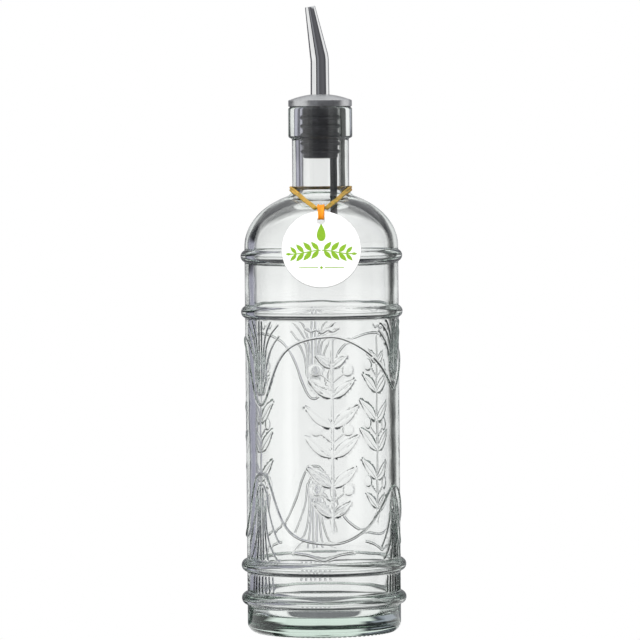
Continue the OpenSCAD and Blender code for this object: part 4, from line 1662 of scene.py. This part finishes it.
    def build_print(self) -> bpy.types.Object:
        """The green print, as thin films of ink on the card."""
        film, sunk = 0.05, 0.01
        mesh = bmesh.new()
        base = self.tag_t / 2 - sunk
        for shape in TagPrint().shapes():
            for height in (base, base + film):
                for x, y in shape:
                    mesh.verts.new((x * MM, y * MM, height * MM))
            mesh.verts.ensure_lookup_table()
            count = len(shape)
            low = mesh.verts[len(mesh.verts) - 2 * count : len(mesh.verts) - count]
            high = mesh.verts[len(mesh.verts) - count :]
            mesh.faces.new(low)
            mesh.faces.new(high)
            for i in range(count):
                j = (i + 1) % count
                mesh.faces.new((low[i], low[j], high[j], high[i]))
        bmesh.ops.recalc_face_normals(mesh, faces=mesh.faces)
        data = bpy.data.meshes.new("tag_print")
        mesh.to_mesh(data)
        mesh.free()
        obj = add_object("tag_print", data)
        obj.data.transform(self.card_frame())
        return finish_piece(obj, PrintingInk().material(), "tag")

    def build(self) -> None:
        """Builds the four pieces."""
        self.build_band()
        self.build_loop()
        self.build_card()
        self.build_print()


# --- The studio ---


class Seen(Enum):
    """How a light of the studio reaches the camera."""

    THROUGH_GLASS = "through glass"
    MIRRORED = "mirrored"
    BOTH_WAYS = "both ways"


@dataclass
class Studio:
    """A white light table, a ring of soft boxes and dark flags at a distance, and the camera."""

    distance: float = 2200.0
    camera_z: float = 221.0
    aim: Point = (-0.9, 148.4)
    lens: float = 260.5
    roll: float = 0.49
    # Bearing round the bottle and brightness of what stands there: backdrop, flags and soft boxes.
    ring: tuple[tuple[float, str], ...] = (
        (-180, "#7C7D80"), (-142, "#7C7D80"), (-138, "#FFFFFF"), (-115, "#FFFFFF"), (-111, "#C0C1C4"),
        (-86, "#C0C1C4"), (-78, "#5C5C66"), (-56, "#5C5C66"), (-47, "#A9A8B8"), (-30, "#A9A8B8"),
        (-26, "#585964"), (-24, "#585964"), (-18, "#FFFFFF"), (22, "#FFFFFF"), (31, "#1A211C"),
        (70, "#1A211C"), (78, "#C0C3C2"), (111, "#C0C3C2"), (115, "#FFFFFF"), (138, "#FFFFFF"),
        (142, "#7C7D80"), (180, "#7C7D80"),
    )
    # The same for directions that rise more, where the flags close in.
    ring_above: tuple[tuple[float, str], ...] = (
        (-180, "#7C7D80"), (-86, "#7C7D80"), (-80, "#202225"), (-25, "#202225"), (-18, "#FFFFFF"),
        (20, "#FFFFFF"), (27, "#1A1B1D"), (80, "#1A1B1D"), (86, "#7C7D80"), (180, "#7C7D80"),
    )
    # The rises of a direction, as sines, between which the upper ring takes over.
    above: Point = (0.04, 0.12)
    # The same for what the pieces mirror.
    mirrored: tuple[tuple[float, str], ...] = (
        (-180, "#5E5E62"), (-173, "#4A4A4E"), (-171, "#8A8B90"), (-147, "#8A8B90"), (-145, "#242428"),
        (-135, "#242428"), (-132, "#FFFFFF"), (-68, "#FFFFFF"), (-64, "#3A3B40"), (-20, "#8C8C90"),
        (50, "#9C9CA0"), (53, "#FFFFFF"), (95, "#FFFFFF"), (99, "#4C4C50"), (140, "#6A6A6E"),
        (180, "#5E5E62"),
    )
    # A dark flag over the backdrop, a bright board over the bottle and a soft box at the top: the rises
    # between which each comes in, its colour, and how it is seen.
    overhead: tuple[tuple[float, float, str, Seen], ...] = (
        (0.15, 0.24, "#26282B", Seen.THROUGH_GLASS),
        (0.36, 0.46, "#F2F3F5", Seen.MIRRORED),
        (0.74, 0.84, "#FFFFFF", Seen.BOTH_WAYS),
    )
    table_r: float = 0.45
    table_glow: float = 0.95
    # The backdrop's strength under the horizon and at it, and the sine under which it is all the first.
    backdrop: Point = (1.0, 0.93)
    backdrop_low: float = -0.06
    key_place: Triple = (-0.7, -2.0, 1.4)
    key_aim: Triple = (0, 0, 0.15)
    key_size: Point = (1.6, 1.2)
    key_watts: float = 60.0

    def build_camera(self) -> None:
        """Sets a long lens in front of the bottle, a little above its middle."""
        data = bpy.data.cameras.new("camera")
        data.lens = self.lens
        data.sensor_width = 36.0
        data.clip_start = 0.1
        data.clip_end = 100.0
        camera = add_object("camera", data)
        camera.location = (self.aim[0] * MM, -self.distance * MM, self.camera_z * MM)
        tilt = math.atan2(self.camera_z - self.aim[1], self.distance)
        level = Euler((math.pi / 2 - tilt, 0, 0)).to_matrix()
        turn = level @ Matrix.Rotation(math.radians(-self.roll), 3, "Z")
        camera.rotation_euler = turn.to_euler()
        bpy.context.scene.camera = camera

    def build_floor(self) -> None:
        """A white acrylic light table, lit a little from below."""
        bpy.ops.object.select_all(action="DESELECT")
        radius, middle = self.table_r, (0, 0, 0)
        bpy.ops.mesh.primitive_circle_add(vertices=96, radius=radius, fill_type="NGON", location=middle)
        floor = bpy.context.object
        floor.name = "light_table"
        material, tree, output = new_material("light_table_acrylic")
        place = add_node(tree, "SeparateXYZ", {"Vector": add_node(tree, "TexCoord").outputs["Object"]})
        light = {"Color": self.ring_light(tree, place), "Strength": self.table_glow}
        glow = add_node(tree, "Emission", light)
        self.white_to_camera(tree, glow.outputs["Emission"], output)
        floor.data.materials.append(material)

    def ring_light(self, tree: bpy.types.NodeTree, place: bpy.types.Node) -> bpy.types.NodeSocket:
        """Brightness round the bottle by bearing: 0 is behind it, and a quarter turn is to its right.

        Args:
            tree: the node tree that gets the nodes.
            place: a Separate XYZ node of a place or a direction.

        Returns:
            The colour there.
        """
        sides = {0: place.outputs["X"], 1: place.outputs["Y"]}
        bearing = add_node(tree, "Math", sides, operation="ARCTAN2").outputs[0]
        share = map_range(tree, bearing, -math.pi, math.pi)
        mirrored, level, above = (
            ramp(tree, share, [((degrees + 180) / 360, code) for degrees, code in stops])
            for stops in (self.mirrored, self.ring, self.ring_above)
        )
        seen = mix(tree, map_range(tree, place.outputs["Z"], *self.above), level, above)
        through = add_node(tree, "LightPath").outputs["Is Transmission Ray"]
        return mix(tree, through, mirrored, seen)

    def white_to_camera(
        self, tree: bpy.types.NodeTree, light: bpy.types.NodeSocket, output: bpy.types.Node
    ) -> None:
        """Shows plain white to the camera, and the studio's lights to the pieces.

        Args:
            tree: the node tree.
            light: the shader that lights the pieces.
            output: the tree's output node.
        """
        plain = add_node(tree, "Emission", {"Color": (1, 1, 1, 1), "Strength": 1.0}).outputs["Emission"]
        direct = add_node(tree, "LightPath").outputs["Is Camera Ray"]
        either = add_node(tree, "MixShader", {0: direct, 1: light, 2: plain})
        tree.links.new(either.outputs["Shader"], output.inputs["Surface"])

    def build_surround(self) -> None:
        """The studio round the table: soft boxes, dark flags between them, and what hangs overhead."""
        world = bpy.data.worlds.new("studio")
        bpy.context.scene.world = world
        world.use_nodes = True
        tree = world.node_tree
        tree.nodes.clear()
        output = add_node(tree, "OutputWorld")
        ray = add_node(tree, "SeparateXYZ", {"Vector": add_node(tree, "TexCoord").outputs["Generated"]})
        rise = ray.outputs["Z"]
        light = self.ring_light(tree, ray)
        through = add_node(tree, "LightPath").outputs["Is Transmission Ray"]
        mirrored = add_node(tree, "Math", {0: 1.0, 1: through}, operation="SUBTRACT").outputs[0]
        parts = {Seen.THROUGH_GLASS: through, Seen.MIRRORED: mirrored}
        for low, high, code, seen in self.overhead:
            share = map_range(tree, rise, low, high)
            if seen in parts:
                share = add_node(tree, "Math", {0: share, 1: parts[seen]}, operation="MULTIPLY").outputs[0]
            light = mix(tree, share, light, linear_colour(code))
        # The backdrop is a little brighter towards the table.
        strength = map_range(tree, rise, self.backdrop_low, 0.0, *self.backdrop)
        surround = add_node(tree, "Background", {"Color": light, "Strength": strength})
        self.white_to_camera(tree, surround.outputs["Background"], output)

    def build_key(self) -> None:
        """A large soft light over the camera, which lights the card and the elastic but isn't mirrored."""
        data = bpy.data.lights.new("key", "AREA")
        data.shape = "RECTANGLE"
        data.size, data.size_y = self.key_size
        data.energy = self.key_watts
        key = add_object("key", data)
        key.location = self.key_place
        away = Vector(self.key_aim) - key.location
        key.rotation_euler = away.to_track_quat("-Z", "Y").to_euler()
        key.visible_glossy = False
        key.visible_transmission = False

    def set_view(self) -> None:
        """Plain colours, and enough bounces for a thick glass wall seen through another."""
        scene = bpy.context.scene
        scene.view_settings.view_transform = "Standard"
        scene.view_settings.look = "None"
        scene.cycles.max_bounces = 32
        scene.cycles.transmission_bounces = 32
        scene.cycles.glossy_bounces = 12
        scene.cycles.transparent_max_bounces = 16
        scene.cycles.caustics_reflective = False
        scene.cycles.caustics_refractive = True

    def build(self) -> None:
        """Sets up the studio."""
        self.build_camera()
        self.build_floor()
        self.build_surround()
        self.build_key()
        self.set_view()


def main() -> None:
    """Builds the studio and the pieces."""
    logging.basicConfig(level=logging.INFO, format="%(message)s")
    Studio().build()
    bottle = GlassBottle()
    bottle.build()
    Pourer().build()
    HangingTag(bottle).build()


if __name__ == "__main__":
    main()
